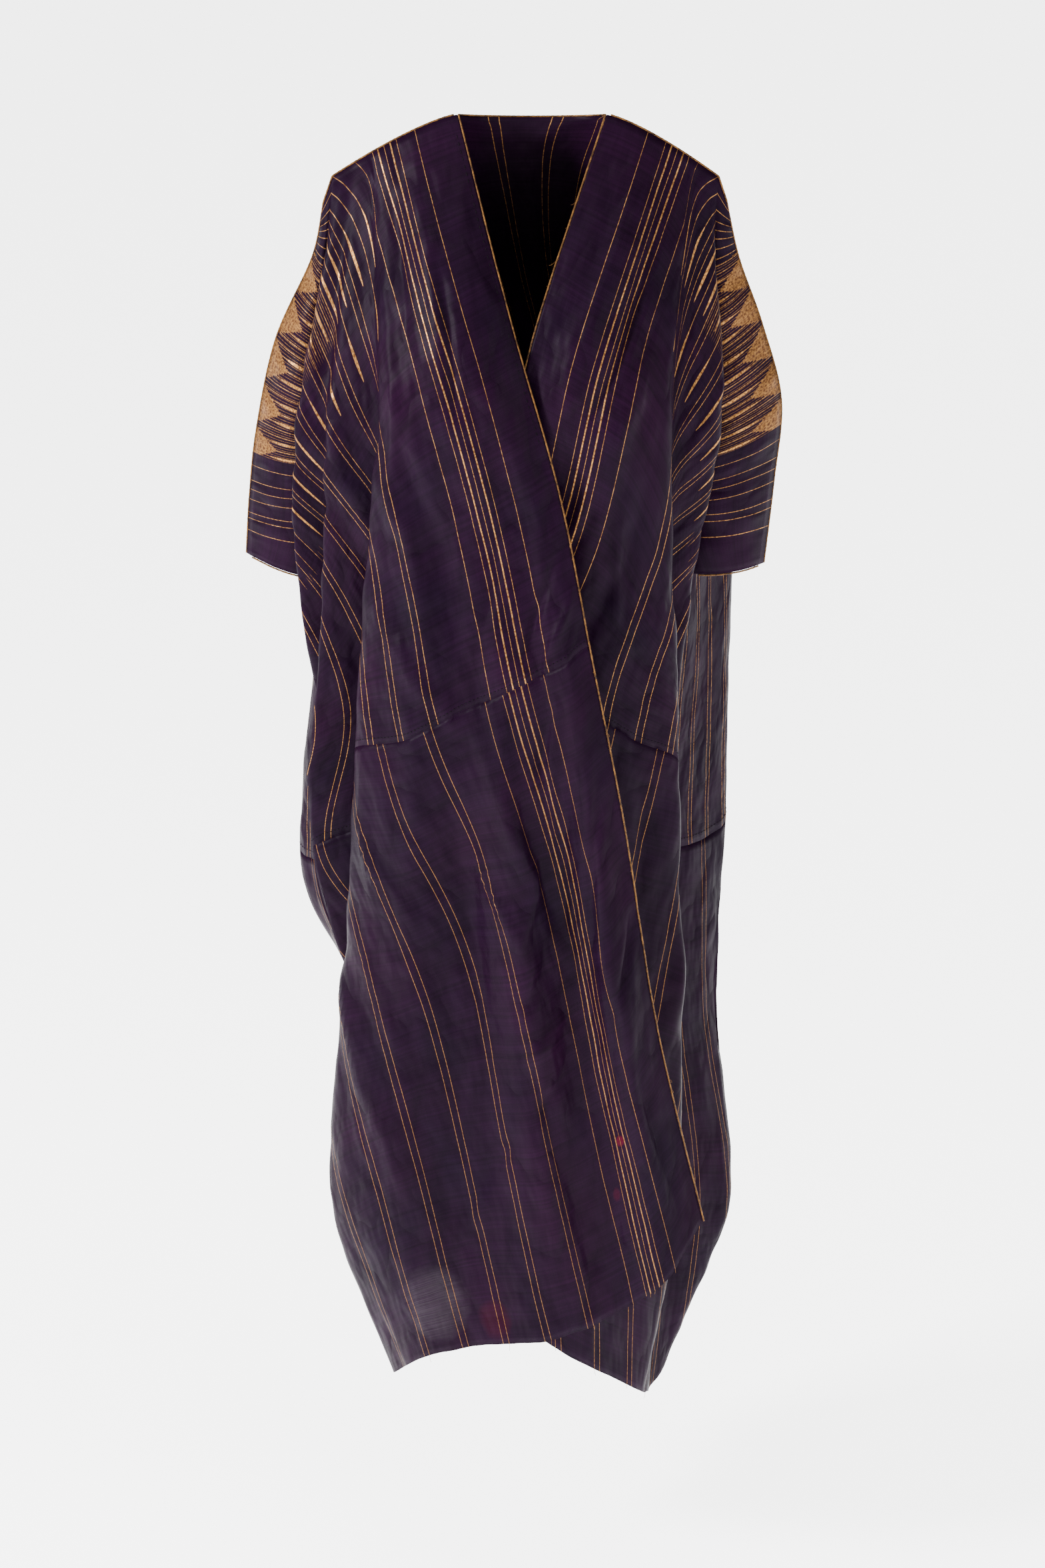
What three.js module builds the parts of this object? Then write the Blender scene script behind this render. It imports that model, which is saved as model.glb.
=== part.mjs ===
// An aba robe: two widths of silk, joined across the hips, that hang from the shoulders as they are worn.
// Millimetres, +Z up. The wearer faces -Y and the wearer's left is +X. The origin is midway between the two
// neck points, where the shoulders carry the robe. The wearer's right front laps over the left one.
import * as THREE from "three";

const WALL = 1.6; // the silk with its sewn turnings, as a wall
const SEAM_GAP = 0.45; // between two pieces that are sewn together
const CORD_RADIUS = 1.3; // gilt cord sewn along the edges and the shoulder seams
const CORD_GAP = 0.5; // between a cord and the cloth that it is sewn to
const CORD_SIDES = 6;
const CUFF_CORD_SHORT = 0.2; // how much of its last cell a cuff's cord leaves free
const NECK_HALF = 75; // from the middle to a neck point
const NECK_BACK = 42; // how far the neck's edge curves back between the neck points
const NECK_DIP = 10; // and how far it dips there
const SHOULDER_OUT = 108; // from a neck point to the turn of the shoulder
const SHOULDER_FALL = { right: 52, left: 60 }; // how far the seam falls on that way
const SHOULDER_ROUND = 1.3; // how much the seam bends down as it goes
const SHOULDER_BACK = 0.045; // and how far back it goes
const SLIT_END = 2; // the station where the arm opening ends
const HIP = 3; // the station of the seam between the two widths
const HEM = 6; // the last station
const ROWS = 5; // rows of cells between two stations
const FLAP_STEPS = 5; // cells across one face of a sleeve

const CLOTH = { color: 0x2c1c2b, roughness: 0.55, metalness: 0 };
const GILT = { color: 0xb08a45, roughness: 0.45, metalness: 0.6 };

// Each row is a line of the cloth that runs from the shoulder seam to the hem: a hill that stands out, the
// tuck or hollow beside it, or an edge. steps is how many cells lie between it and the next line. x is its
// place at the seven stations: shoulder seam, bust, waist, hip seam, thigh, knee and hem. y and z are its
// places at the last six, for the shoulder seam has its own form.
const RIGHT_FRONT = [
  {
    line: "front_edge", steps: 2,
    x: [-75, -22, 26, 57, 97, 133, 182],
    y: [-103, -140, -165, -172, -170, -160],
    z: [-188, -355, -507, -719, -938, -1150],
  },
  {
    line: "lap_hill", steps: 2,
    x: [-87, -44, 2, 34, 68, 105, 148],
    y: [-118, -148, -174, -188, -190, -178],
    z: [-196, -367, -522, -747, -980, -1205],
  },
  {
    line: "lap_hollow", steps: 2,
    x: [-99, -68, -22, 8, 28, 60, 92],
    y: [-126, -146, -166, -158, -160, -166],
    z: [-207, -380, -538, -775, -1018, -1255],
  },
  {
    line: "middle_hill", steps: 2,
    x: [-112, -92, -48, -28, -14, 12, 22],
    y: [-128, -148, -170, -182, -186, -180],
    z: [-218, -395, -556, -795, -1041, -1280],
  },
  {
    line: "middle_hollow", steps: 2,
    x: [-125, -115, -80, -70, -66, -60, -55],
    y: [-122, -138, -158, -150, -154, -160],
    z: [-231, -413, -578, -815, -1060, -1297],
  },
  {
    line: "side_hill", steps: 2,
    x: [-139, -134, -125, -128, -135, -145, -112],
    y: [-112, -130, -150, -152, -158, -140],
    z: [-249, -439, -612, -846, -1086, -1320],
  },
  {
    line: "great_fold", steps: 3,
    x: [-153, -152, -170, -182, -197, -211, -150],
    y: [-98, -98, -100, -92, -90, -70],
    z: [-265, -461, -640, -883, -1133, -1376],
  },
  {
    line: "great_tuck", steps: 3,
    x: [-163, -156, -138, -105, -150, -175, -135],
    y: [-82, -72, -70, -60, -55, -45],
    z: [-285, -490, -700, -922, -1150, -1372],
  },
  {
    line: "arm_fold", steps: 2,
    x: [-172, -205, -217, -231, -185, -195, -140],
    y: [-64, -58, -55, -50, -45, -30],
    z: [-300, -500, -765, -964, -1169, -1368],
  },
  {
    line: "arm_tuck", steps: 2,
    x: [-181, -208, -196, -198, -168, -178, -125],
    y: [-50, -38, -32, -28, -25, -14],
    z: [-305, -500, -778, -971, -1171, -1364],
  },
  {
    line: "cuff_fold", steps: 2,
    x: [-190, -240, -239, -198, -185, -186, -128],
    y: [-38, -34, -8, -8, -8, 0],
    z: [-310, -500, -790, -977, -1171, -1358],
  },
  {
    line: "side", steps: 0,
    x: [-201, -222, -208, -232, -178, -176, -115],
    y: [-14, -6, 22, 14, 14, 18],
    z: [-300, -485, -808, -985, -1172, -1350],
  },
];
const LEFT_FRONT = [
  {
    line: "front_edge", steps: 3,
    x: [75, 6, -28, -45, -58, -70, -80],
    y: [-98, -118, -128, -130, -130, -128],
    z: [-192, -364, -520, -768, -1023, -1270],
  },
  {
    line: "lap_hill", steps: 2,
    x: [90, 30, 0, -12, -22, -32, -40],
    y: [-110, -123, -131, -133, -134, -131],
    z: [-203, -377, -535, -781, -1034, -1280],
  },
  {
    line: "lap_hollow", steps: 3,
    x: [106, 56, 32, 24, 18, 12, 0],
    y: [-118, -121, -124, -122, -124, -120],
    z: [-218, -397, -560, -803, -1053, -1295],
  },
  {
    line: "middle_hill", steps: 3,
    x: [122, 84, 68, 62, 62, 60, 42],
    y: [-120, -124, -130, -131, -133, -122],
    z: [-233, -419, -588, -833, -1085, -1330],
  },
  {
    line: "middle_hollow", steps: 3,
    x: [138, 112, 108, 106, 110, 112, 88],
    y: [-112, -112, -114, -108, -108, -98],
    z: [-253, -448, -625, -870, -1123, -1368],
  },
  {
    line: "great_fold", steps: 3,
    x: [154, 139, 146, 153, 158, 160, 124],
    y: [-97, -88, -86, -80, -75, -62],
    z: [-270, -473, -657, -904, -1157, -1406],
  },
  {
    line: "great_tuck", steps: 2,
    x: [165, 144, 124, 112, 122, 146, 126],
    y: [-78, -62, -60, -54, -50, -42],
    z: [-285, -490, -700, -930, -1170, -1416],
  },
  {
    line: "arm_fold", steps: 2,
    x: [177, 192, 162, 142, 140, 156, 130],
    y: [-52, -48, -42, -36, -28, -20],
    z: [-295, -500, -745, -960, -1185, -1427],
  },
  {
    line: "side", steps: 0,
    x: [188, 174, 150, 126, 128, 146, 132],
    y: [-16, -14, -12, -10, -2, 2],
    z: [-300, -474, -785, -985, -1200, -1436],
  },
];
// The fold of the back that stands out behind each elbow. The back goes on from it to the front's side line.
// Above the end of the arm opening it goes to a line of its own, which passes behindArm at the bust.
const RIGHT_ELBOW = {
  steps: 3,
  x: [-190, -192, -214, -248, -190, -190, -132],
  y: [84, 52, 52, 58, 56, 52],
  z: [-285, -480, -805, -965, -1165, -1345],
  behindArm: [-214, 58, -300],
};
const LEFT_ELBOW = {
  steps: 2,
  x: [178, 192, 212, 210, 207, 213, 154],
  y: [88, 86, 80, 68, 52, 30],
  z: [-285, -480, -785, -985, -1190, -1396],
  behindArm: [166, 58, -300],
};
// Between them the back hangs in hills and hollows: where each lies, as a share of the back's half width, and
// how far it swells out, as a share of the swell.
const BACK_FOLDS = [
  { share: -0.86, swell: -0.8 },
  { share: -0.7, swell: 0.8 },
  { share: -0.55, swell: -1 },
  { share: -0.42, swell: 0.9 },
  { share: -0.27, swell: -0.6 },
  { share: -0.12, swell: 0.7 },
  { share: 0.02, swell: -0.9 },
  { share: 0.16, swell: 0.8 },
  { share: 0.3, swell: -0.7 },
  { share: 0.42, swell: 1 },
  { share: 0.6, swell: -0.8 },
  { share: 0.74, swell: 0.7 },
  { share: 0.88, swell: -0.7 },
];
// The back's form at the seven stations, in millimetres. Its height is given below the shoulder seam.
const BACK_FORM = {
  halfWidth: [180, 186, 190, 200, 190, 185, 150],
  middleDepth: [0, 100, 112, 122, 130, 136, 138],
  sideDepth: [0, 84, 84, 84, 82, 78, 62],
  swell: [0, 3, 9, 15, 18, 20, 21],
  middleHeight: [0, -175, -360, -565, -790, -1020, -1240],
  sideHeight: [0, -260, -450, -740, -940, -1160, -1365],
};
// The outer seam of each sleeve, from the shoulder tip to the corner of the cuff, and how far the control
// points of the cloth before and behind it stand out at the cuff.
const RIGHT_SLEEVE = {
  x: [-211, -223, -262, -284, -293, -297],
  y: [8, 13, 18, 20, 18, 14],
  z: [-92, -148, -234, -330, -404, -462],
  frontSwell: 44,
  backSwell: 62,
};
const LEFT_SLEEVE = {
  x: [197, 210, 236, 257, 251, 242],
  y: [7, 13, 18, 20, 18, 12],
  z: [-90, -148, -220, -300, -385, -472],
  frontSwell: 44,
  backSwell: 42,
};

const vector = (x, y, z) => new THREE.Vector3(x, y, z);
const span = (from, to, steps) =>
  Array.from({ length: steps + 1 }, (_, k) => from + ((to - from) * k) / steps);
const STATIONS = span(0, HEM, HEM * ROWS);
const SLIT_ROW = SLIT_END * ROWS;
const HIP_ROW = HIP * ROWS;
const HEM_ROW = HEM * ROWS;

/** The place of the shoulder seam and of the neck's back edge, at a distance from the middle. */
function shoulder(x) {
  const out = Math.abs(x) - NECK_HALF;
  if (out >= 0) {
    const fall = x < 0 ? SHOULDER_FALL.right : SHOULDER_FALL.left;
    return vector(x, SHOULDER_BACK * out, -fall * (out / SHOULDER_OUT) ** SHOULDER_ROUND);
  }
  const curve = Math.sqrt(1 - (x / NECK_HALF) ** 2);
  return vector(x, NECK_BACK * curve, -NECK_DIP * curve);
}

/** A smooth curve through points, read from 0 to the number of points less one. */
function smooth(points) {
  const curve = new THREE.CatmullRomCurve3(points, false, "catmullrom", 0.5);
  return (at) => curve.getPoint(Math.min(1, Math.max(0, at / (points.length - 1))));
}

/** A line of the cloth as a curve that is read by station. */
function clothLine({ x, y, z }) {
  return smooth([shoulder(x[0]), ...y.map((depth, k) => vector(x[k + 1], depth, z[k]))]);
}

/** The line at which the back ends: the front's side line, and above the slit's end a line behind the arm. */
function backSide(front, elbow) {
  const below = clothLine(front.at(-1));
  const above = smooth([below(0), vector(...elbow.behindArm), below(SLIT_END)]);
  return (station) => (station < SLIT_END ? above(station) : below(station));
}

/** The lines of the back between its outermost ones. */
function backLines() {
  return BACK_FOLDS.map(({ share, swell }) => {
    const places = BACK_FORM.halfWidth.map((half, station) => {
      const x = share * half;
      if (station === 0) return shoulder(x);
      const mix = (middle, side, power) => middle + (side - middle) * Math.abs(share) ** power;
      const depth = mix(BACK_FORM.middleDepth[station], BACK_FORM.sideDepth[station], 2.2);
      const height = mix(BACK_FORM.middleHeight[station], BACK_FORM.sideHeight[station], 1.7);
      return vector(x, depth + swell * BACK_FORM.swell[station], height);
    });
    return smooth(places);
  });
}

/** A panel as a function of line and station, smooth both ways. before and after lie beyond its sides. */
function surface(lines, before, after) {
  const all = [before, ...lines, after];
  return (line, station) => {
    const across = new THREE.CatmullRomCurve3(all.map((at) => at(station)), false, "centripetal");
    return across.getPoint((line + 1) / (all.length - 1));
  };
}

/** Where a panel has its columns of points, in lines. */
function columns(steps) {
  const found = steps.flatMap((count, line) => span(line, line + 1, count).slice(0, -1));
  return [...found, steps.length];
}

/** One face of a sleeve, between the panel's side line and the outer seam. swell is how far it stands out. */
function sleeveFace(sideLine, seam, swell) {
  const seamAt = smooth(seam.x.map((x, k) => vector(x, seam.y[k], seam.z[k])));
  return (share, station) => {
    const down = station / SLIT_END;
    const inner = sideLine(station);
    const apart = vector(0, (Math.sign(swell) * (WALL + SEAM_GAP)) / 2, 0);
    const outer = seamAt(down * (seam.x.length - 1)).add(apart);
    const bulge = inner.clone().lerp(outer, 0.5).add(vector(0, swell * Math.sin((down * Math.PI) / 2), 0));
    return new THREE.QuadraticBezierCurve3(inner, bulge, outer).getPoint(share);
  };
}

/**
 * A panel's points, row by row, with the sleeve faces that go on from its sides. first and last give a sleeve
 * face, or nothing. A row below the arm opening has no points in their columns.
 */
function lattice(at, across, first, last) {
  const shares = span(0, 1, FLAP_STEPS).slice(1);
  return STATIONS.map((station) => {
    const onSleeve = (face) => shares.map((share) => (station <= SLIT_END ? face(share, station) : null));
    return [
      ...(first ? onSleeve(first).reverse() : []),
      ...across.map((line) => (station === 0 ? shoulder(at(line, 0).x) : at(line, station))),
      ...(last ? onSleeve(last) : []),
    ];
  });
}

/** The normal of a panel at each of its points, out of the robe. side is 1 or -1. */
function normals(points, side) {
  const found = points.map((row) => row.map(() => vector(0, 0, 0)));
  for (let r = 0; r < points.length - 1; r++) {
    for (let c = 0; c < points[0].length - 1; c++) {
      const corners = [points[r][c], points[r][c + 1], points[r + 1][c + 1], points[r + 1][c]];
      if (corners.includes(null)) continue;
      const [a, b, d, e] = corners;
      const flat = d.clone().sub(a).cross(e.clone().sub(b)).multiplyScalar(side);
      [found[r][c], found[r][c + 1], found[r + 1][c + 1], found[r + 1][c]].forEach((n) => n.add(flat));
    }
  }
  return found.map((row) => row.map((n) => n.normalize()));
}

/** Turns the normals along the shoulder seam upright, so that front and back meet there edge to edge. */
function standAlongShoulder(panel) {
  const top = panel.points[0];
  top.forEach((p, c) => {
    if (Math.abs(p.x) < NECK_HALF - 1) return;
    const along = top[Math.min(top.length - 1, c + 1)].clone().sub(top[Math.max(0, c - 1)]);
    const up = vector(-along.z, 0, along.x).normalize();
    panel.normals[0][c].copy(up.z < 0 ? up.negate() : up);
  });
}

/** Gives two panels the same normals along the side line that they share below the arm opening. */
function shareSide(front, frontColumn, back, backColumn) {
  for (let r = SLIT_ROW; r <= HEM_ROW; r++) {
    const both = front.normals[r][frontColumn].clone().add(back.normals[r][backColumn]).normalize();
    front.normals[r][frontColumn].copy(both);
    back.normals[r][backColumn].copy(both);
  }
}

/** A point of a panel's border, drawn in from the seam within the plane that stands on the border. */
function drawnIn({ points, normals: out }, [r, c], towards, [before, after]) {
  const along = (points[after[0]]?.[after[1]] ?? points[r][c]).clone();
  along.sub(points[before[0]]?.[before[1]] ?? points[r][c]).normalize();
  const way = points[towards[0]][towards[1]].clone().sub(points[r][c]);
  const across = along.cross(out[r][c]).normalize();
  return across.multiplyScalar((Math.sign(way.dot(across)) * SEAM_GAP) / 2);
}

/** A wall on the rows from top to bottom of a panel: its two faces and the rim that joins them. */
function wall(panel, top, bottom) {
  const { points, normals: out, side } = panel;
  const cols = points[0].length;
  const inside = (r, c) => r >= top && r < bottom && c >= 0 && c < cols - 1;
  const corners = (r, c) => [points[r][c], points[r][c + 1], points[r + 1][c], points[r + 1][c + 1]];
  const cell = (r, c) => inside(r, c) && corners(r, c).every(Boolean);
  const placed = new Map();
  const vertices = [];
  const inward = (r, c) => {
    const p = points[r][c].clone();
    const row = [[r, c - 1], [r, c + 1]];
    const column = [[r - 1, c], [r + 1, c]];
    if (!cell(r, c) && !cell(r, c - 1)) p.add(drawnIn(panel, [r, c], [r - 1, c], row));
    if (!cell(r - 1, c) && !cell(r - 1, c - 1)) p.add(drawnIn(panel, [r, c], [r + 1, c], row));
    if (!cell(r, c) && !cell(r - 1, c)) p.add(drawnIn(panel, [r, c], [r, c - 1], column));
    if (!cell(r, c - 1) && !cell(r - 1, c - 1)) p.add(drawnIn(panel, [r, c], [r, c + 1], column));
    return p;
  };
  const id = (r, c, skin) => {
    const key = `${r},${c}`;
    if (!placed.has(key)) {
      const p = inward(r, c);
      placed.set(key, vertices.length);
      [WALL / 2, -WALL / 2].forEach((depth) => vertices.push(p.clone().addScaledVector(out[r][c], depth)));
    }
    return placed.get(key) + skin;
  };
  const faces = [];
  const quad = (a, b, c, d) => (side > 0 ? faces.push(a, b, c, a, c, d) : faces.push(a, c, b, a, d, c));
  const rim = (r, c, toR, toC) => quad(id(r, c, 1), id(toR, toC, 1), id(toR, toC, 0), id(r, c, 0));
  const rimTurned = (r, c, toR, toC) => quad(id(toR, toC, 1), id(toR, toC, 0), id(r, c, 0), id(r, c, 1));
  for (let r = top; r < bottom; r++) {
    for (let c = 0; c < cols - 1; c++) {
      if (!cell(r, c)) continue;
      quad(id(r, c, 0), id(r, c + 1, 0), id(r + 1, c + 1, 0), id(r + 1, c, 0));
      quad(id(r, c, 1), id(r + 1, c, 1), id(r + 1, c + 1, 1), id(r, c + 1, 1));
      if (!cell(r - 1, c)) rim(r, c, r, c + 1);
      if (!cell(r + 1, c)) rimTurned(r + 1, c + 1, r + 1, c);
      if (!cell(r, c - 1)) rimTurned(r + 1, c, r, c);
      if (!cell(r, c + 1)) rim(r, c + 1, r + 1, c + 1);
    }
  }
  return solid(vertices, faces);
}

/** A geometry of points and triangles. */
function solid(points, faces) {
  const geometry = new THREE.BufferGeometry().setFromPoints(points);
  geometry.setIndex(faces);
  geometry.computeVertexNormals();
  return geometry;
}

/** A cord along a path, closed at both ends. */
function cord(path) {
  const points = [];
  let side = vector(0, 1, 0);
  path.forEach((p, k) => {
    const along = path[Math.min(path.length - 1, k + 1)].clone().sub(path[Math.max(0, k - 1)]).normalize();
    side = side.clone().addScaledVector(along, -side.dot(along)).normalize();
    const up = along.clone().cross(side);
    for (let s = 0; s < CORD_SIDES; s++) {
      const turn = (2 * Math.PI * s) / CORD_SIDES;
      const spoke = side.clone().multiplyScalar(Math.cos(turn)).addScaledVector(up, Math.sin(turn));
      points.push(p.clone().addScaledVector(spoke, CORD_RADIUS));
    }
  });
  const faces = [];
  const id = (k, s) => k * CORD_SIDES + (s % CORD_SIDES);
  for (let k = 0; k < path.length - 1; k++) {
    for (let s = 0; s < CORD_SIDES; s++) {
      faces.push(id(k, s), id(k, s + 1), id(k + 1, s + 1), id(k, s), id(k + 1, s + 1), id(k + 1, s));
    }
  }
  const end = path.length - 1;
  for (let s = 1; s < CORD_SIDES - 1; s++) {
    faces.push(id(0, 0), id(0, s + 1), id(0, s));
    faces.push(id(end, 0), id(end, s), id(end, s + 1));
  }
  return solid(points, faces);
}

/** A path beside an edge: each of its points moved away from the point that is next to it in the cloth. */
function beside(edge, inside, clear) {
  return edge.map((p, k) => p.clone().add(p.clone().sub(inside[k]).setLength(clear)));
}

const robe = new THREE.Group();

function add(name, geometry, finish) {
  const mesh = new THREE.Mesh(geometry, new THREE.MeshStandardMaterial(finish));
  mesh.name = name;
  robe.add(mesh);
}

/** A front and its sleeve face, edge first and sleeve last. */
function frontPanel(table, elbow, seam, side) {
  const lines = table.map(clothLine);
  const beyondEdge = (station) => lines[0](station).add(vector(20 * side, 0, 0));
  const beyondSide = clothLine(elbow);
  const across = columns(table.map(({ steps }) => steps).slice(0, -1));
  const face = sleeveFace(lines.at(-1), seam, -seam.frontSwell);
  const points = lattice(surface(lines, beyondEdge, beyondSide), across, null, face);
  const panel = { points, normals: normals(points, side), side, sideColumn: across.length - 1 };
  standAlongShoulder(panel);
  return panel;
}

/** The back, from the right sleeve face to the left one. */
function backPanel() {
  const rightSide = backSide(RIGHT_FRONT, RIGHT_ELBOW);
  const leftSide = backSide(LEFT_FRONT, LEFT_ELBOW);
  const lines = [rightSide, clothLine(RIGHT_ELBOW), ...backLines(), clothLine(LEFT_ELBOW), leftSide];
  const across = columns([2, RIGHT_ELBOW.steps, ...BACK_FOLDS.map(() => 3), LEFT_ELBOW.steps]);
  const at = surface(lines, clothLine(RIGHT_FRONT.at(-2)), clothLine(LEFT_FRONT.at(-2)));
  const rightFace = sleeveFace(rightSide, RIGHT_SLEEVE, RIGHT_SLEEVE.backSwell);
  const leftFace = sleeveFace(leftSide, LEFT_SLEEVE, LEFT_SLEEVE.backSwell);
  const points = lattice(at, across, rightFace, leftFace);
  const panel = { points, normals: normals(points, 1), side: 1, sideColumn: FLAP_STEPS };
  standAlongShoulder(panel);
  return panel;
}

const rightFront = frontPanel(RIGHT_FRONT, RIGHT_ELBOW, RIGHT_SLEEVE, 1);
const leftFront = frontPanel(LEFT_FRONT, LEFT_ELBOW, LEFT_SLEEVE, -1);
const back = backPanel();
const lastBackColumn = back.points[0].length - 1;
shareSide(rightFront, rightFront.sideColumn, back, FLAP_STEPS);
shareSide(leftFront, leftFront.sideColumn, back, lastBackColumn - FLAP_STEPS);

[["right_front", rightFront], ["left_front", leftFront], ["back", back]].forEach(([name, panel]) => {
  add(`${name}_upper`, wall(panel, 0, HIP_ROW), CLOTH);
  add(`${name}_lower`, wall(panel, HIP_ROW, HEM_ROW), CLOTH);
});

// One cord goes up the right front's edge, round the back of the neck and down the left front's edge.
const edgeClear = CORD_RADIUS + CORD_GAP;
const seamClear = edgeClear + WALL / 2 + 2 * SEAM_GAP;
const edgeOf = ({ points }) => beside(points.map((row) => row[0]), points.map((row) => row[1]), edgeClear);
const neck = back.points[0].filter((p) => Math.abs(p.x) < NECK_HALF);
const overNeck = neck.map((p) => p.clone().add(vector(0, 0, seamClear)));
add("edge_cord", cord([...edgeOf(rightFront).reverse(), ...overNeck, ...edgeOf(leftFront)]), GILT);

/** A cord along one face of a cuff, from near the slit's end to just short of the outer seam. */
function cuffCord(points, columns) {
  const [, ...covered] = columns;
  const edge = covered.map((c) => points[SLIT_ROW][c]);
  const above = covered.map((c) => points[SLIT_ROW - 1][c]);
  const path = beside(edge, above, edgeClear);
  path.push(path.pop().lerp(path.at(-1), CUFF_CORD_SHORT));
  return cord(path);
}

// On each side a cord covers the shoulder seam and goes on down the outer seam of the sleeve. One goes along
// each face of the cuff.
const flap = (from, way) => Array.from({ length: FLAP_STEPS }, (_, k) => from + way * (k + 1));
const sides = [
  { name: "right", front: rightFront, sideColumn: FLAP_STEPS, way: -1 },
  { name: "left", front: leftFront, sideColumn: lastBackColumn - FLAP_STEPS, way: 1 },
];
sides.forEach(({ name, front, sideColumn, way }) => {
  const frontFlap = flap(front.sideColumn, 1);
  const backFlap = flap(sideColumn, way);
  const top = front.points[0].slice(1, -1);
  const overShoulder = top.map((p, c) => p.clone().addScaledVector(front.normals[0][c + 1], seamClear));
  const between = (fromSeam) =>
    front.points
      .slice(0, SLIT_ROW + 1)
      .map((row, r) => row[frontFlap.at(fromSeam)].clone().lerp(back.points[r][backFlap.at(fromSeam)], 0.5));
  const overSleeve = beside(between(-1), between(-3), seamClear);
  add(`${name}_shoulder_cord`, cord([...overShoulder, ...overSleeve.slice(1)]), GILT);
  add(`${name}_front_cuff_cord`, cuffCord(front.points, frontFlap), GILT);
  add(`${name}_back_cuff_cord`, cuffCord(back.points, backFlap), GILT);
});

export default robe;
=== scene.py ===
"""An aba robe of dark silk with gilt stripes, hollow as it is worn: its cloth, its gilt cords and its sewing.

Lengths in the tables are in millimetres or, where they lie on the flat cloth, in centimetres. Meshes are in
metres. The wearer faces -Y, +Z is up, and the origin lies between the two neck points.
"""

from __future__ import annotations

import logging
import math
import random
from dataclasses import dataclass, field, replace
from enum import Enum
from typing import Iterable, Sequence

import bmesh
import bpy
import numpy as np
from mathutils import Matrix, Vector, noise


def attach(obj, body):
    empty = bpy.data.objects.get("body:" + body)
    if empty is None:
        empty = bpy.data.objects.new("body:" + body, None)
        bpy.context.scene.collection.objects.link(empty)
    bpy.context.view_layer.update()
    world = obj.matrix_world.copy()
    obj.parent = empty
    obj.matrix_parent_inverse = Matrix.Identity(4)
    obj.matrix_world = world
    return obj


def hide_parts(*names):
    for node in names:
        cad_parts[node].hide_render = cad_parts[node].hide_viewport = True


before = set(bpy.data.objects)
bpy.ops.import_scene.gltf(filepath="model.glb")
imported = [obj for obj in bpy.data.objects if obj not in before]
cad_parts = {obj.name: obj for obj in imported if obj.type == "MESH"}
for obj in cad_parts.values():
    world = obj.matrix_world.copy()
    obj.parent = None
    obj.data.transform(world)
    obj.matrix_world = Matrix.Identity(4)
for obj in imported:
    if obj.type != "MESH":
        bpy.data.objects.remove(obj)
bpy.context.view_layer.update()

log = logging.getLogger("aba")
MM = 0.001
CM = 0.01
SEED = 7


# ----------------------------------------------------------------------------------------------------------
# The form of the robe
# ----------------------------------------------------------------------------------------------------------

NECK_HALF = 75.0  # mm from the middle to a neck point
NECK_BACK = 42.0  # mm that the neck's back edge lies behind the neck points
NECK_DIP = 10.0  # mm that it dips in the middle
SHOULDER_OUT = 108.0  # mm from a neck point to where the shoulder has fallen by the two values below
SHOULDER_FALL_RIGHT = 52.0
SHOULDER_FALL_LEFT = 60.0
SHOULDER_ROUND = 1.3  # how round the shoulder is: 1 is straight
SHOULDER_BACK = 0.045  # how far the seam runs back for each mm out
SLIT_END = 2  # the station at which the cuffs and the side openings end
HIP = 3  # the station of the hip seam
HEM = 6
SEAM_APART = 2.05  # mm between the two faces of a sleeve at its outer seam
CLOTH_HALF = 52.0  # cm of cloth from a front edge to the side fold, measured square to the threads
LEFT_UPPER_HALF = 50.0  # cm of the left front's upper cloth that is made, without its hidden lap
HIP_DOWN = 57.0  # cm of cloth from the shoulder seam to the hip seam
HEM_DOWN = 121.0  # cm of cloth from the shoulder seam to the hem
ROWS = 30  # rows of cells between two stations
CELLS = 12  # cells between two lines of a front
BACK_CELLS = 8
FLAP_CELLS = 16
SILK_THICK = 0.7  # mm, the thickness of the silk as it is drawn


@dataclass(frozen=True)
class FoldLine:
    """A line of the cloth from the shoulder seam to the hem, by its places at the seven stations in mm."""

    name: str
    x: tuple[float, ...]
    y: tuple[float, ...]
    z: tuple[float, ...]


@dataclass(frozen=True)
class BackFold:
    """A hill or hollow of the back: its share of the half width, and of the swell."""

    share: float
    swell: float


@dataclass(frozen=True)
class Sleeve:
    """The outer seam of a sleeve, and how far the control points of its two faces stand out at the cuff."""

    x: tuple[float, ...]
    y: tuple[float, ...]
    z: tuple[float, ...]
    front_swell: float
    back_swell: float


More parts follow.
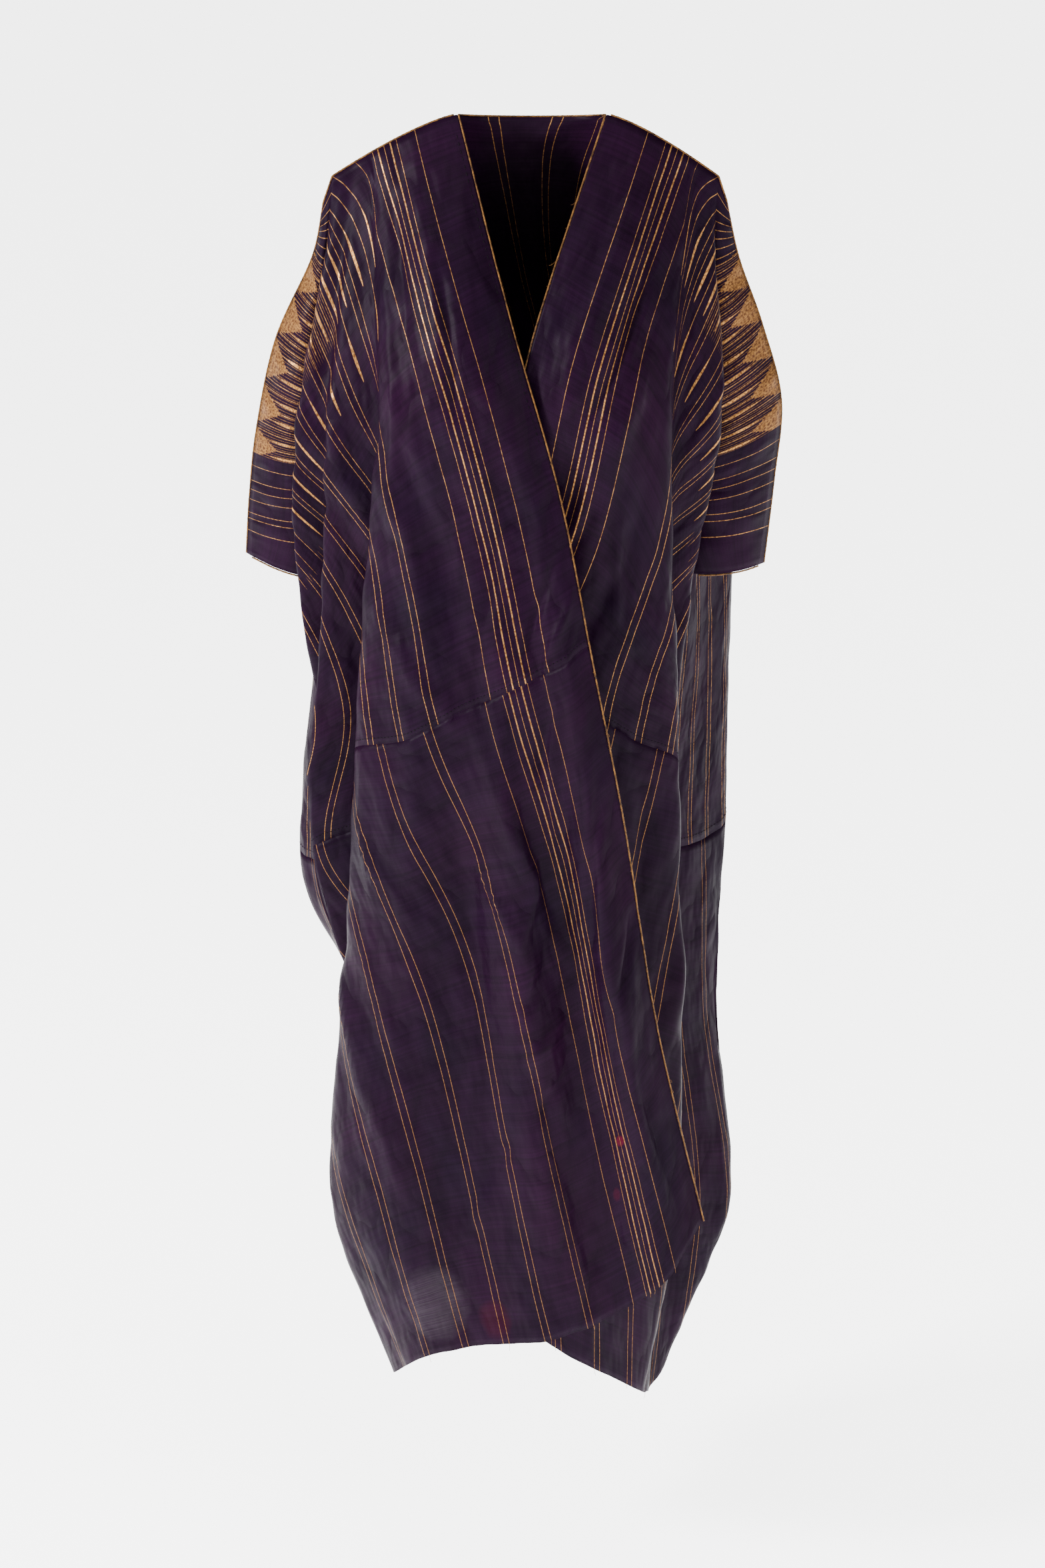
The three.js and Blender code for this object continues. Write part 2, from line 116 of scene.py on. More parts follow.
RIGHT_FRONT = (
    FoldLine("front_edge", (-75, -22, 26, 57, 97, 133, 182), (-103, -140, -165, -172, -170, -160),
             (-188, -355, -507, -719, -938, -1150)),
    FoldLine("lap_hill", (-87, -44, 2, 34, 68, 105, 148), (-118, -148, -174, -188, -190, -178),
             (-196, -367, -522, -747, -980, -1205)),
    FoldLine("lap_hollow", (-99, -68, -22, 8, 28, 60, 92), (-126, -146, -166, -158, -160, -166),
             (-207, -380, -538, -775, -1018, -1255)),
    FoldLine("middle_hill", (-112, -92, -48, -28, -14, 12, 22), (-128, -148, -170, -182, -186, -180),
             (-218, -395, -556, -795, -1041, -1280)),
    FoldLine("middle_hollow", (-125, -115, -80, -70, -66, -60, -55), (-122, -138, -158, -150, -154, -160),
             (-231, -413, -578, -815, -1060, -1297)),
    FoldLine("side_hill", (-139, -134, -125, -128, -135, -145, -112), (-112, -130, -150, -152, -158, -140),
             (-249, -439, -612, -846, -1086, -1320)),
    FoldLine("great_fold", (-153, -152, -170, -182, -197, -214, -150), (-98, -98, -100, -92, -90, -70),
             (-265, -461, -640, -883, -1160, -1376)),
    FoldLine("great_tuck", (-163, -156, -138, -105, -150, -175, -135), (-82, -72, -70, -60, -55, -45),
             (-285, -490, -700, -922, -1150, -1372)),
    FoldLine("arm_fold", (-172, -205, -217, -231, -185, -195, -140), (-64, -58, -55, -50, -45, -30),
             (-300, -500, -765, -964, -1169, -1368)),
    FoldLine("arm_tuck", (-181, -208, -196, -198, -168, -178, -125), (-50, -38, -32, -28, -25, -14),
             (-305, -500, -778, -971, -1171, -1364)),
    FoldLine("cuff_fold", (-190, -240, -239, -198, -185, -186, -128), (-38, -34, -8, -8, -8, 0),
             (-310, -500, -790, -977, -1171, -1358)),
    FoldLine("side", (-201, -222, -208, -232, -178, -176, -115), (-14, -6, 22, 14, 14, 18),
             (-300, -485, -808, -985, -1172, -1350)),
)
LEFT_FRONT = (
    FoldLine("front_edge", (75, 6, -36, -82, -110, -125, -105), (-98, -118, -124, -118, -114, -110),
             (-192, -364, -508, -745, -1000, -1240)),
    FoldLine("lap_hill", (90, 30, -4, -42, -66, -82, -70), (-110, -123, -131, -134, -135, -131),
             (-203, -377, -524, -765, -1014, -1256)),
    FoldLine("lap_hollow", (106, 56, 30, 6, -10, -22, -26), (-118, -121, -121, -117, -117, -114),
             (-218, -397, -552, -795, -1045, -1285)),
    FoldLine("middle_hill", (122, 84, 67, 58, 54, 52, 36), (-120, -124, -130, -131, -133, -122),
             (-233, -419, -588, -833, -1085, -1327)),
    FoldLine("middle_hollow", (138, 112, 108, 106, 110, 112, 88), (-112, -112, -114, -108, -108, -98),
             (-253, -448, -625, -870, -1123, -1368)),
    FoldLine("great_fold", (154, 139, 146, 153, 158, 160, 124), (-97, -88, -86, -80, -75, -62),
             (-270, -473, -657, -904, -1157, -1406)),
    FoldLine("great_tuck", (165, 144, 124, 112, 122, 146, 126), (-78, -62, -60, -54, -50, -42),
             (-285, -490, -700, -930, -1170, -1416)),
    FoldLine("arm_fold", (177, 192, 162, 142, 140, 156, 130), (-52, -48, -42, -36, -28, -20),
             (-295, -500, -745, -960, -1185, -1427)),
    FoldLine("side", (188, 174, 150, 126, 128, 146, 132), (-16, -14, -12, -10, -2, 2),
             (-300, -474, -785, -985, -1200, -1436)),
)
RIGHT_ELBOW = FoldLine("elbow_fold", (-190, -192, -214, -248, -190, -190, -132), (84, 52, 52, 58, 56, 52),
                       (-285, -480, -805, -965, -1165, -1345))
LEFT_ELBOW = FoldLine("elbow_fold", (178, 192, 212, 210, 207, 221, 156), (88, 86, 80, 68, 52, 30),
                      (-285, -480, -785, -985, -1225, -1400))
BEHIND_RIGHT_ARM = (-214.0, 58.0, -300.0)
BEHIND_LEFT_ARM = (166.0, 58.0, -300.0)
BACK_FOLDS = tuple(
    BackFold(share, swell)
    for share, swell in (
        (-0.86, -0.8), (-0.7, 0.8), (-0.55, -1.0), (-0.42, 0.9), (-0.27, -0.6), (-0.12, 0.7), (0.02, -0.9),
        (0.16, 0.8), (0.3, -0.7), (0.42, 1.0), (0.6, -0.8), (0.74, 0.7), (0.88, -0.7),
    )
)
BACK_HALF_WIDTH = (180, 186, 190, 200, 190, 185, 150)
BACK_MIDDLE_DEPTH = (0, 100, 112, 122, 130, 136, 138)
BACK_SIDE_DEPTH = (0, 84, 84, 84, 82, 78, 62)
BACK_SWELL = (0, 3, 9, 15, 18, 20, 21)
BACK_MIDDLE_HEIGHT = (0, -175, -360, -565, -790, -1020, -1240)
BACK_SIDE_HEIGHT = (0, -260, -450, -740, -940, -1160, -1365)
RIGHT_SLEEVE = Sleeve((-211, -223, -262, -284, -293, -297), (8, 13, 18, 20, 18, 14),
                      (-92, -148, -234, -330, -404, -462), 44, 62)
LEFT_SLEEVE = Sleeve((197, 210, 236, 257, 251, 242), (7, 13, 18, 20, 18, 12),
                     (-90, -148, -220, -300, -385, -472), 44, 42)


def shoulder_point(x: float) -> np.ndarray:
    """Gives the place on the shoulder seam, or on the neck's back edge, at a distance from the middle.

    Args:
        x: The distance from the middle in mm, positive on the wearer's left.

    Returns:
        The place in mm.
    """
    out = abs(x) - NECK_HALF
    if out >= 0:
        fall = SHOULDER_FALL_RIGHT if x < 0 else SHOULDER_FALL_LEFT
        return np.array((x, SHOULDER_BACK * out, -fall * (out / SHOULDER_OUT) ** SHOULDER_ROUND))
    curve = math.sqrt(1 - (x / NECK_HALF) ** 2)
    return np.array((x, NECK_BACK * curve, -NECK_DIP * curve))


def even_curve(points: np.ndarray, at: np.ndarray) -> np.ndarray:
    """Reads a smooth curve whose points are evenly spaced in its own measure.

    Args:
        points: The points that the curve passes, n by 3.
        at: Where to read it, from 0 to n - 1.

    Returns:
        The places, one row for each value of at.
    """
    first = 2 * points[0] - points[1]
    last = 2 * points[-1] - points[-2]
    padded = np.vstack((first, points, last))
    at = np.clip(at, 0, len(points) - 1)
    cell = np.minimum(at.astype(int), len(points) - 2)
    t = (at - cell)[:, None]
    before, start, end, after = (padded[cell + k] for k in range(4))
    leave, arrive = (end - before) / 2, (after - start) / 2
    return (
        start
        + leave * t
        + (3 * (end - start) - 2 * leave - arrive) * t**2
        + (2 * (start - end) + leave + arrive) * t**3
    )


def chord_curve(points: np.ndarray, at: np.ndarray) -> np.ndarray:
    """Reads a smooth curve whose points may lie unevenly, for every row of a panel at once.

    Args:
        points: The points that each row's curve passes, lines by rows by 3.
        at: Where to read it, from 0 to the number of lines less one.

    Returns:
        The places, columns by rows by 3.
    """
    first = 2 * points[0] - points[1]
    last = 2 * points[-1] - points[-2]
    padded = np.concatenate((first[None], points, last[None]))
    gaps = np.linalg.norm(np.diff(padded, axis=0), axis=2) ** 0.5
    gaps = np.maximum(gaps, 1e-3)[..., None]
    cell = np.minimum(at.astype(int), len(points) - 2)
    t = (at - cell)[:, None, None]
    before, start, end, after = (padded[cell + k] for k in range(4))
    gap0, gap1, gap2 = (gaps[cell + k] for k in range(3))
    leave = (start - before) / gap0 - (end - before) / (gap0 + gap1) + (end - start) / gap1
    arrive = (end - start) / gap1 - (after - start) / (gap1 + gap2) + (after - end) / gap2
    leave, arrive = leave * gap1, arrive * gap1
    return (
        start
        + leave * t
        + (3 * (end - start) - 2 * leave - arrive) * t**2
        + (2 * (start - end) + leave + arrive) * t**3
    )


def line_places(line: FoldLine, stations: np.ndarray) -> np.ndarray:
    """Reads a fold line by station.

    Args:
        line: The fold line.
        stations: The stations to read it at.

    Returns:
        Its places in mm.
    """
    points = [shoulder_point(line.x[0])]
    points += [np.array((x, y, z), float) for x, y, z in zip(line.x[1:], line.y, line.z)]
    return even_curve(np.array(points), stations)


def back_side_places(side: FoldLine, behind_arm: tuple[float, ...], stations: np.ndarray) -> np.ndarray:
    """Reads the line at which the back ends.

    Args:
        side: The front's side line, which the back shares below the arm opening.
        behind_arm: Where the line passes behind the arm at the bust, in mm.
        stations: The stations to read it at.

    Returns:
        Its places in mm.
    """
    below = line_places(side, stations)
    ends = line_places(side, np.array((0.0, float(SLIT_END))))
    above = even_curve(np.array((ends[0], behind_arm, ends[1])), np.minimum(stations, SLIT_END))
    return np.where((stations < SLIT_END)[:, None], above, below)


def back_fold_places(fold: BackFold, stations: np.ndarray) -> np.ndarray:
    """Reads a hill or hollow of the back by station.

    Args:
        fold: The fold.
        stations: The stations to read it at.

    Returns:
        Its places in mm.
    """
    across = abs(fold.share)
    places = [shoulder_point(fold.share * BACK_HALF_WIDTH[0])]
    for k in range(1, HEM + 1):
        depth = BACK_MIDDLE_DEPTH[k] + (BACK_SIDE_DEPTH[k] - BACK_MIDDLE_DEPTH[k]) * across**2.2
        height = BACK_MIDDLE_HEIGHT[k] + (BACK_SIDE_HEIGHT[k] - BACK_MIDDLE_HEIGHT[k]) * across**1.7
        places.append(np.array((fold.share * BACK_HALF_WIDTH[k], depth + fold.swell * BACK_SWELL[k], height)))
    return even_curve(np.array(places), stations)


def sleeve_places(sleeve: Sleeve, inner: np.ndarray, stations: np.ndarray, swell: float) -> np.ndarray:
    """Lays one face of a sleeve between a side line and the outer seam.

    Args:
        sleeve: The sleeve.
        inner: The side line's places, in mm.
        stations: The stations of those places, none below the slit's end.
        swell: How far the face's control points stand out at the cuff, in mm, negative to the front.

    Returns:
        The places, columns by rows by 3, without the side line itself.
    """
    down = stations / SLIT_END
    seam = even_curve(np.array((sleeve.x, sleeve.y, sleeve.z), float).T, down * (len(sleeve.x) - 1))
    seam = seam + np.array((0, math.copysign(SEAM_APART / 2, swell), 0))
    bulge = (inner + seam) / 2
    bulge[:, 1] += swell * np.sin(down * math.pi / 2)
    share = (np.arange(1, FLAP_CELLS + 1) / FLAP_CELLS)[:, None, None]
    return (1 - share) ** 2 * inner + 2 * share * (1 - share) * bulge + share**2 * seam


def smooth_step(low: float, high: float, value: np.ndarray) -> np.ndarray:
    """Goes smoothly from 0 at low to 1 at high."""
    t = np.clip((value - low) / (high - low), 0, 1)
    return t * t * (3 - 2 * t)


# ----------------------------------------------------------------------------------------------------------
# The relief of the cloth: creases that are listed, and the small unevenness of silk
# ----------------------------------------------------------------------------------------------------------


CREASE_PRESS = 2.4  # how much every crease is pressed beyond its own height
RIPPLE = 3.2  # mm, the most that a long ripple lifts the cloth
CRUMPLE = 1.1  # mm, the most that the finer crumple does
PUCKER = 0.7  # mm, the most that the hip seam does
SIDE_RELIEF = 0.15  # the share of the relief that is left at a side line


@dataclass(frozen=True)
class Crease:
    """A soft ridge or trough from one place of the flat cloth to another, in cm, with its height in mm."""

    from_across: float
    from_down: float
    to_across: float
    to_down: float
    width: float
    height: float

    def lift(self, across: np.ndarray, down: np.ndarray) -> np.ndarray:
        """Gives how far the crease lifts the cloth.

        Args:
            across: Places on the flat cloth, in cm from the front edge.
            down: Places on the flat cloth, in cm from the shoulder seam.

        Returns:
            The lift in mm.
        """
        way = np.array((self.to_across - self.from_across, self.to_down - self.from_down))
        length = float(np.hypot(*way))
        way = way / length
        dx, dy = across - self.from_across, down - self.from_down
        along = np.clip((dx * way[0] + dy * way[1]) / length, 0, 1)
        aside = dx * way[1] - dy * way[0]
        past = (dx * way[0] + dy * way[1]) - along * length
        fade = np.sin(np.pi * (0.08 + 0.84 * along)) ** 0.7
        bend = 0.35 * self.width * np.sin(along * 5 + self.from_across)
        slope = ((aside + bend) / self.width) ** 2 + (past / (2 * self.width)) ** 2
        return CREASE_PRESS * self.height * fade * np.exp(-slope)


def lay_creases(*rows: tuple[float, ...]) -> tuple[Crease, ...]:
    """Makes creases of rows that hold each one's values in order."""
    return tuple(Crease(*row) for row in rows)


RIGHT_FRONT_CREASES = lay_creases(
    (5.0, 2.0, 8.0, 24.0, 1.0, 1.6), (8.5, 5.0, 11.5, 26.0, 0.8, -1.5),
    (12.0, 12.0, 17.0, 34.0, 0.9, 2.0), (15.0, 24.0, 12.5, 44.0, 0.8, -1.8),
    (17.5, 26.0, 15.5, 48.0, 1.0, 2.2), (3.0, 26.0, 8.0, 38.0, 0.8, 1.2),
    (2.0, 47.0, 6.5, 54.0, 0.6, -2.2), (1.0, 51.0, 5.0, 57.0, 0.5, 2.0),
    (7.0, 40.0, 12.0, 56.0, 1.1, -1.6), (21.0, 42.0, 16.0, 56.0, 0.8, 1.8),
    (24.0, 12.0, 30.0, 30.0, 1.0, 1.6), (30.0, 20.0, 34.0, 44.0, 0.9, -1.6),
    (38.0, 26.0, 43.0, 50.0, 1.0, 1.8), (4.0, 58.0, 10.0, 76.0, 0.9, 2.4),
    (9.0, 58.0, 12.0, 82.0, 1.0, -2.6), (14.0, 60.0, 11.0, 84.0, 0.9, 2.0),
    (19.0, 62.0, 23.0, 90.0, 1.2, -2.0), (2.0, 70.0, 7.0, 86.0, 0.8, -1.8),
    (6.0, 84.0, 3.0, 100.0, 0.9, 2.4), (10.0, 90.0, 13.0, 112.0, 1.1, 2.2),
    (18.0, 92.0, 15.0, 114.0, 1.1, -2.4), (25.0, 84.0, 28.0, 110.0, 1.4, 2.0),
    (33.0, 76.0, 31.0, 104.0, 1.3, -1.8), (26.0, 104.0, 34.0, 112.0, 1.0, 1.6),
    (40.0, 70.0, 37.0, 100.0, 1.2, 1.6), (11.0, 74.0, 15.5, 81.0, 0.6, 2.2),
    (19.0, 72.0, 15.5, 81.0, 0.6, 2.0), (13.0, 84.0, 17.5, 88.0, 0.55, -1.8),
    (12.5, 90.0, 18.0, 92.5, 0.6, 1.8), (14.0, 95.0, 19.0, 99.0, 0.6, -1.8),
    (4.6, 60.0, 8.5, 66.0, 0.55, -1.6), (0.6, 86.0, 4.8, 92.0, 0.6, -2.6),
    (5.6, 13.0, 7.6, 27.0, 0.6, -2.4), (22.0, 100.0, 29.0, 106.0, 0.7, -1.8),
    (3.4, 98.0, 3.0, 116.0, 0.7, -3.2), (27.0, 59.0, 30.0, 73.0, 0.8, 2.2),
    (33.0, 58.0, 35.0, 70.0, 0.7, -2.2),
)
LEFT_FRONT_CREASES = lay_creases(
    (4.0, 4.0, 6.0, 22.0, 0.9, 1.4), (8.0, 3.0, 9.0, 26.0, 0.8, -1.6),
    (12.0, 16.0, 10.0, 40.0, 0.9, 2.0), (14.5, 26.0, 13.0, 50.0, 0.8, -1.8),
    (9.0, 32.0, 7.0, 48.0, 0.7, 1.6), (18.0, 10.0, 20.0, 34.0, 0.9, -1.6),
    (26.0, 8.0, 30.0, 26.0, 1.0, 1.6), (35.0, 14.0, 38.0, 34.0, 1.0, -1.4),
    (16.0, 58.0, 12.0, 72.0, 0.7, 2.4), (19.0, 60.0, 17.0, 84.0, 0.8, -2.2),
    (14.0, 74.0, 18.0, 96.0, 0.9, 2.0), (20.0, 92.0, 17.0, 114.0, 0.9, -2.0),
    (10.0, 96.0, 13.0, 116.0, 1.0, 1.8), (26.0, 100.0, 22.0, 118.0, 0.8, 1.8),
    (32.0, 66.0, 30.0, 92.0, 1.1, 1.8), (9.0, 14.0, 7.6, 29.0, 0.6, -2.6),
    (12.0, 34.0, 15.5, 47.0, 0.6, 2.2), (22.0, 62.0, 25.0, 74.0, 0.7, -2.2),
    (28.0, 76.0, 24.0, 88.0, 0.7, 2.2),
)
BACK_CREASES = lay_creases(
    (46.0, 10.0, 44.0, 34.0, 1.2, 1.6), (38.0, 14.0, 40.0, 40.0, 1.0, -1.8),
    (30.0, 8.0, 27.0, 36.0, 1.1, 1.8), (22.0, 20.0, 24.0, 50.0, 1.0, -1.6),
    (12.0, 12.0, 10.0, 44.0, 1.2, 1.8), (4.0, 24.0, 6.0, 52.0, 1.0, -1.6),
    (48.0, 60.0, 45.0, 92.0, 1.2, 2.0), (36.0, 62.0, 38.0, 98.0, 1.1, -2.0),
    (26.0, 66.0, 22.0, 104.0, 1.3, 2.2), (14.0, 70.0, 17.0, 112.0, 1.2, -2.0),
    (6.0, 64.0, 4.0, 100.0, 1.1, 1.8), (52.0, 80.0, 50.0, 112.0, 1.0, -1.8),
)


def silk_unevenness(across: np.ndarray, down: np.ndarray, seed: int) -> np.ndarray:
    """Gives the small unevenness of hanging silk: long shallow ripples and a finer crumple.

    Args:
        across: Places on the flat cloth, in cm.
        down: Places on the flat cloth, in cm.
        seed: Which cloth it is.

    Returns:
        The lift in mm.
    """
    lift = np.zeros(across.shape)
    for index in np.ndindex(across.shape):
        a, d = across[index], down[index]
        ripple = noise.noise(Vector((a / 3.2 + 0.05 * d, d / 17.0, seed)))
        crumple = noise.noise(Vector((a / 1.5, d / 3.4, seed + 31.0)))
        lift[index] = RIPPLE * ripple + CRUMPLE * crumple
    return lift


def seam_pucker(across: np.ndarray, down: np.ndarray, seed: int) -> np.ndarray:
    """Gives the puckers that the hip seam draws into the cloth on both sides of it.

    Args:
        across: Places on the flat cloth, in cm.
        down: Places on the flat cloth, in cm.
        seed: Which cloth it is.

    Returns:
        The lift in mm.
    """
    near = np.exp(-np.abs(down - HIP_DOWN) / 1.6)
    wave = np.sin(across * 2.9 + seed) + 0.6 * np.sin(across * 5.3 + 2 * seed)
    return near * wave * PUCKER


# ----------------------------------------------------------------------------------------------------------
# Panels
# ----------------------------------------------------------------------------------------------------------


@dataclass
class Panel:
    """A stretch of cloth as a grid.

    It holds the grid's places, where they lie on the flat cloth, and the way out of the robe. The relief
    fades where the cloth reaches side_across, the side line.
    """

    name: str
    places: np.ndarray
    across: np.ndarray
    down: np.ndarray
    whole: np.ndarray
    side: int
    creases: Sequence[Crease] = ()
    seed: int = 0
    side_across: np.ndarray | float = CLOTH_HALF
    out: np.ndarray = field(init=False)

    def __post_init__(self) -> None:
        """Lays the relief on the panel along its own normals."""
        self.out = self.normals()
        lift = silk_unevenness(self.across, self.down, self.seed)
        lift += seam_pucker(self.across, self.down, self.seed)
        for crease in self.creases:
            lift += crease.lift(self.across, self.down)
        self.places = self.places + self.out * (lift * self.ease())[..., None]
        self.out = self.normals()

    def ease(self) -> np.ndarray:
        """Fades the relief out at the shoulder seams and at the sides, where panels meet."""
        top = smooth_step(0, 3.0, self.down)
        side = smooth_step(0, 2.0, np.abs(self.across - self.side_across))
        return top * (SIDE_RELIEF + (1 - SIDE_RELIEF) * side)

    def normals(self) -> np.ndarray:
        """Works out the unit normals of the grid, out of the robe."""
        total = np.zeros(self.places.shape)
        a, b = self.places[:-1, :-1], self.places[:-1, 1:]
        c, d = self.places[1:, 1:], self.places[1:, :-1]
        flat = np.cross(c - a, d - b) * self.side
        flat[~self.cells()] = 0
        for rows, cols in ((slice(0, -1), slice(0, -1)), (slice(0, -1), slice(1, None)),
                           (slice(1, None), slice(1, None)), (slice(1, None), slice(0, -1))):
            total[rows, cols] += flat
        return total / np.maximum(np.linalg.norm(total, axis=2), 1e-9)[..., None]

    def cells(self) -> np.ndarray:
        """Tells which cells of the grid have cloth at all four corners."""
        w = self.whole
        return w[:-1, :-1] & w[:-1, 1:] & w[1:, 1:] & w[1:, :-1]

    def spot(self, across: float, down: float, lift: float) -> np.ndarray:
        """Finds a place near the front edge by its distances on the flat cloth.

        Args:
            across: The distance from the front edge, in cm.
            down: The distance down the front edge from the shoulder seam, in cm.
            lift: How far off the cloth the place lies, in mm.

        Returns:
            The place in mm.
        """
        row = float(np.interp(down, EDGE_DOWN, np.arange(len(EDGE_DOWN)))) * ROWS
        above = min(int(row), len(self.places) - 2)
        found = []
        for r in (above, above + 1):
            raised = self.places[r] + self.out[r] * lift
            count = int(np.argmax(self.across[r])) + 1
            found.append([np.interp(across, self.across[r, :count], raised[:count, k]) for k in range(3)])
        return np.array(found[0]) + (np.array(found[1]) - np.array(found[0])) * (row - above)

    def flat_area(self, top: int, bottom: int) -> float:
        """Measures the cloth between two rows, in square metres."""
        a, b = self.places[top:bottom, :-1], self.places[top:bottom, 1:]
        c, d = self.places[top + 1:bottom + 1, 1:], self.places[top + 1:bottom + 1, :-1]
        cross = np.linalg.norm(np.cross(c - a, d - b), axis=2) / 2
        return float(cross[self.cells()[top:bottom]].sum()) * MM * MM

    def mesh(self, name: str, top: int, bottom: int) -> bpy.types.Object:
        """Makes a thin shell of the rows from top to bottom, with the flat cloth as its UV map.

        Args:
            name: The object's name.
            top: The first row.
            bottom: The last row.

        Returns:
            The object, with Solidify applied.
        """
        shell = bmesh.new()
        corners = {}
        keep = self.cells()
        uv = shell.loops.layers.uv.new("cloth")
        for r in range(top, bottom + 1):
            for c in range(self.places.shape[1]):
                if self.whole[r, c]:
                    corners[r, c] = shell.verts.new(self.places[r, c] * MM)
        for r in range(top, bottom):
            for c in range(self.places.shape[1] - 1):
                if not keep[r, c]:
                    continue
                ring = [(r, c), (r, c + 1), (r + 1, c + 1), (r + 1, c)]
                if self.side < 0:
                    ring.reverse()
                face = shell.faces.new([corners[at] for at in ring])
                face.smooth = True
                for loop, at in zip(face.loops, ring):
                    loop[uv].uv = (self.across[at] * CM, self.down[at] * CM)
        loose = [v for v in shell.verts if not v.link_faces]
        bmesh.ops.delete(shell, geom=loose, context="VERTS")
        piece = add_piece(name, shell)
        thicken(piece, SILK_THICK * MM)
        return piece


def add_piece(name: str, mesh: bmesh.types.BMesh) -> bpy.types.Object:
    """Puts a finished mesh into the scene.

    Args:
        name: The object's name.
        mesh: The mesh, which is used up.

    Returns:
        The object.
    """
    data = bpy.data.meshes.new(name)
    mesh.to_mesh(data)
    mesh.free()
    piece = bpy.data.objects.new(name, data)
    bpy.context.scene.collection.objects.link(piece)
    return piece


def thicken(piece: bpy.types.Object, thickness: float) -> None:
    """Gives a sheet its thickness, half on each face, and applies it.

    Args:
        piece: The sheet.
        thickness: How thick it gets, in metres.
    """
    bpy.ops.object.select_all(action="DESELECT")
    bpy.context.view_layer.objects.active = piece
    piece.select_set(True)
    wall = piece.modifiers.new("silk", "SOLIDIFY")
    wall.thickness = thickness
    wall.offset = 0
    bpy.ops.object.modifier_apply(modifier=wall.name)
    piece.select_set(False)


STATIONS = np.linspace(0, HEM, HEM * ROWS + 1)
SLIT_ROW = SLIT_END * ROWS
HIP_ROW = HIP * ROWS
HEM_ROW = HEM * ROWS
# Cloth from the shoulder seam down to each station, in cm, along a front edge and along a side line.
EDGE_DOWN = (0, 21.5, 40.5, HIP_DOWN, 78.5, 100.0, HEM_DOWN)
SIDE_DOWN = (0, 9.0, 14.0, HIP_DOWN, 78.5, 100.0, HEM_DOWN)
# Cloth from a front edge, or from the middle of the back, to the side line at each station, in cm.
SIDE_ACROSS = (13.0, 32.0, 50.0, CLOTH_HALF, CLOTH_HALF, CLOTH_HALF, CLOTH_HALF)
SIDE_COUNTS_FROM = 0.35  # the share of a width at which the side line's lengths begin to count
TUCK_BEFORE, TUCK_AFTER = 0.8, 0.4  # lines before and after the great tuck that take up spare cloth
EDGE_TURN = 20.0  # mm, how far beyond a front edge the curve across it is led
# How much closer together the lower fronts' stripes are drawn for each station below the hip.
WARP_LEAN = 0.07


def read_table(values: Sequence[float], stations: np.ndarray) -> np.ndarray:
    """Reads a table of one value for each station on a smooth curve between its entries."""
    return even_curve(np.array([values], float).T, stations)[:, 0]


def widths_across(places: np.ndarray) -> np.ndarray:
    """Measures each row of a grid from its first column, square to the columns.

    Args:
        places: The grid, in mm.

    Returns:
        Each place's distance on the flat cloth, in cm.
    """
    steps = np.diff(places, axis=1)
    warp = np.gradient(places, axis=0)
    warp = warp[:, 1:] + warp[:, :-1]
    warp = warp / np.linalg.norm(warp, axis=2)[..., None]
    square = steps - (steps * warp).sum(axis=2)[..., None] * warp
    widths = np.linalg.norm(square, axis=2) / 10
    return np.concatenate((np.zeros((places.shape[0], 1)), np.cumsum(widths, axis=1)), axis=1)


def front_panel(
    name: str,
    lines: Sequence[FoldLine],
    elbow: FoldLine,
    sleeve: Sleeve,
    side: int,
    creases: Sequence[Crease],
    seed: int,
) -> Panel:
    """Lays a front with the front face of its sleeve.

    Args:
        name: The panel's name.
        lines: Its fold lines, from the front edge to the side.
        elbow: The back's fold beyond the side, which the cloth goes on to.
        sleeve: The sleeve.
        side: 1 for the wearer's right, -1 for the left.
        creases: The creases in it.
        seed: Which cloth it is.

    Returns:
        The panel.
    """
    places = [line_places(line, STATIONS) for line in lines]
    before = places[0] + np.array((EDGE_TURN * side, 0, 0))
    after = line_places(elbow, STATIONS)
    table = np.array([before, *places, after])
    at = np.linspace(1, len(lines), (len(lines) - 1) * CELLS + 1)
    body = chord_curve(table, at).transpose(1, 0, 2)
    body[0] = [shoulder_point(p[0]) for p in body[0]]
    across = widths_across(body)
    whole_side = read_table(SIDE_ACROSS, STATIONS)
    share = across / across[:, -1:]
    tuck = [line.name for line in lines].index("great_tuck") * CELLS
    columns = np.arange(body.shape[1])
    tucked = smooth_step(tuck - TUCK_BEFORE * CELLS, tuck + TUCK_AFTER * CELLS, columns)
    across = across + (whole_side - across[:, -1])[:, None] * tucked
    lean = 1 + WARP_LEAN * np.maximum(STATIONS - HIP, 0)
    across = across * lean[:, None]
    whole_side = across[:, -1]
    edge_down = read_table(EDGE_DOWN, STATIONS)[:, None]
    side_down = read_table(SIDE_DOWN, STATIONS)[:, None]
    down = edge_down + (side_down - edge_down) * smooth_step(SIDE_COUNTS_FROM, 1.0, share)
    flap_rows = SLIT_ROW + 1
    flap = np.zeros((len(STATIONS), FLAP_CELLS, 3))
    flap[:flap_rows] = sleeve_places(
        sleeve, body[:flap_rows, -1], STATIONS[:flap_rows], -sleeve.front_swell
    ).transpose(1, 0, 2)
    fall = 1 - np.arange(1, FLAP_CELLS + 1) / FLAP_CELLS
    flap_across = np.repeat(whole_side[:, None], FLAP_CELLS, axis=1)
    flap_down = side_down * fall
    whole = np.ones((len(STATIONS), body.shape[1] + FLAP_CELLS), bool)
    whole[flap_rows:, body.shape[1]:] = False
    return Panel(
        name,
        np.concatenate((body, flap), axis=1),
        np.concatenate((across, flap_across), axis=1),
        np.concatenate((down, flap_down), axis=1),
        whole,
        side,
        creases,
        seed,
        CLOTH_HALF * lean[:, None],
    )


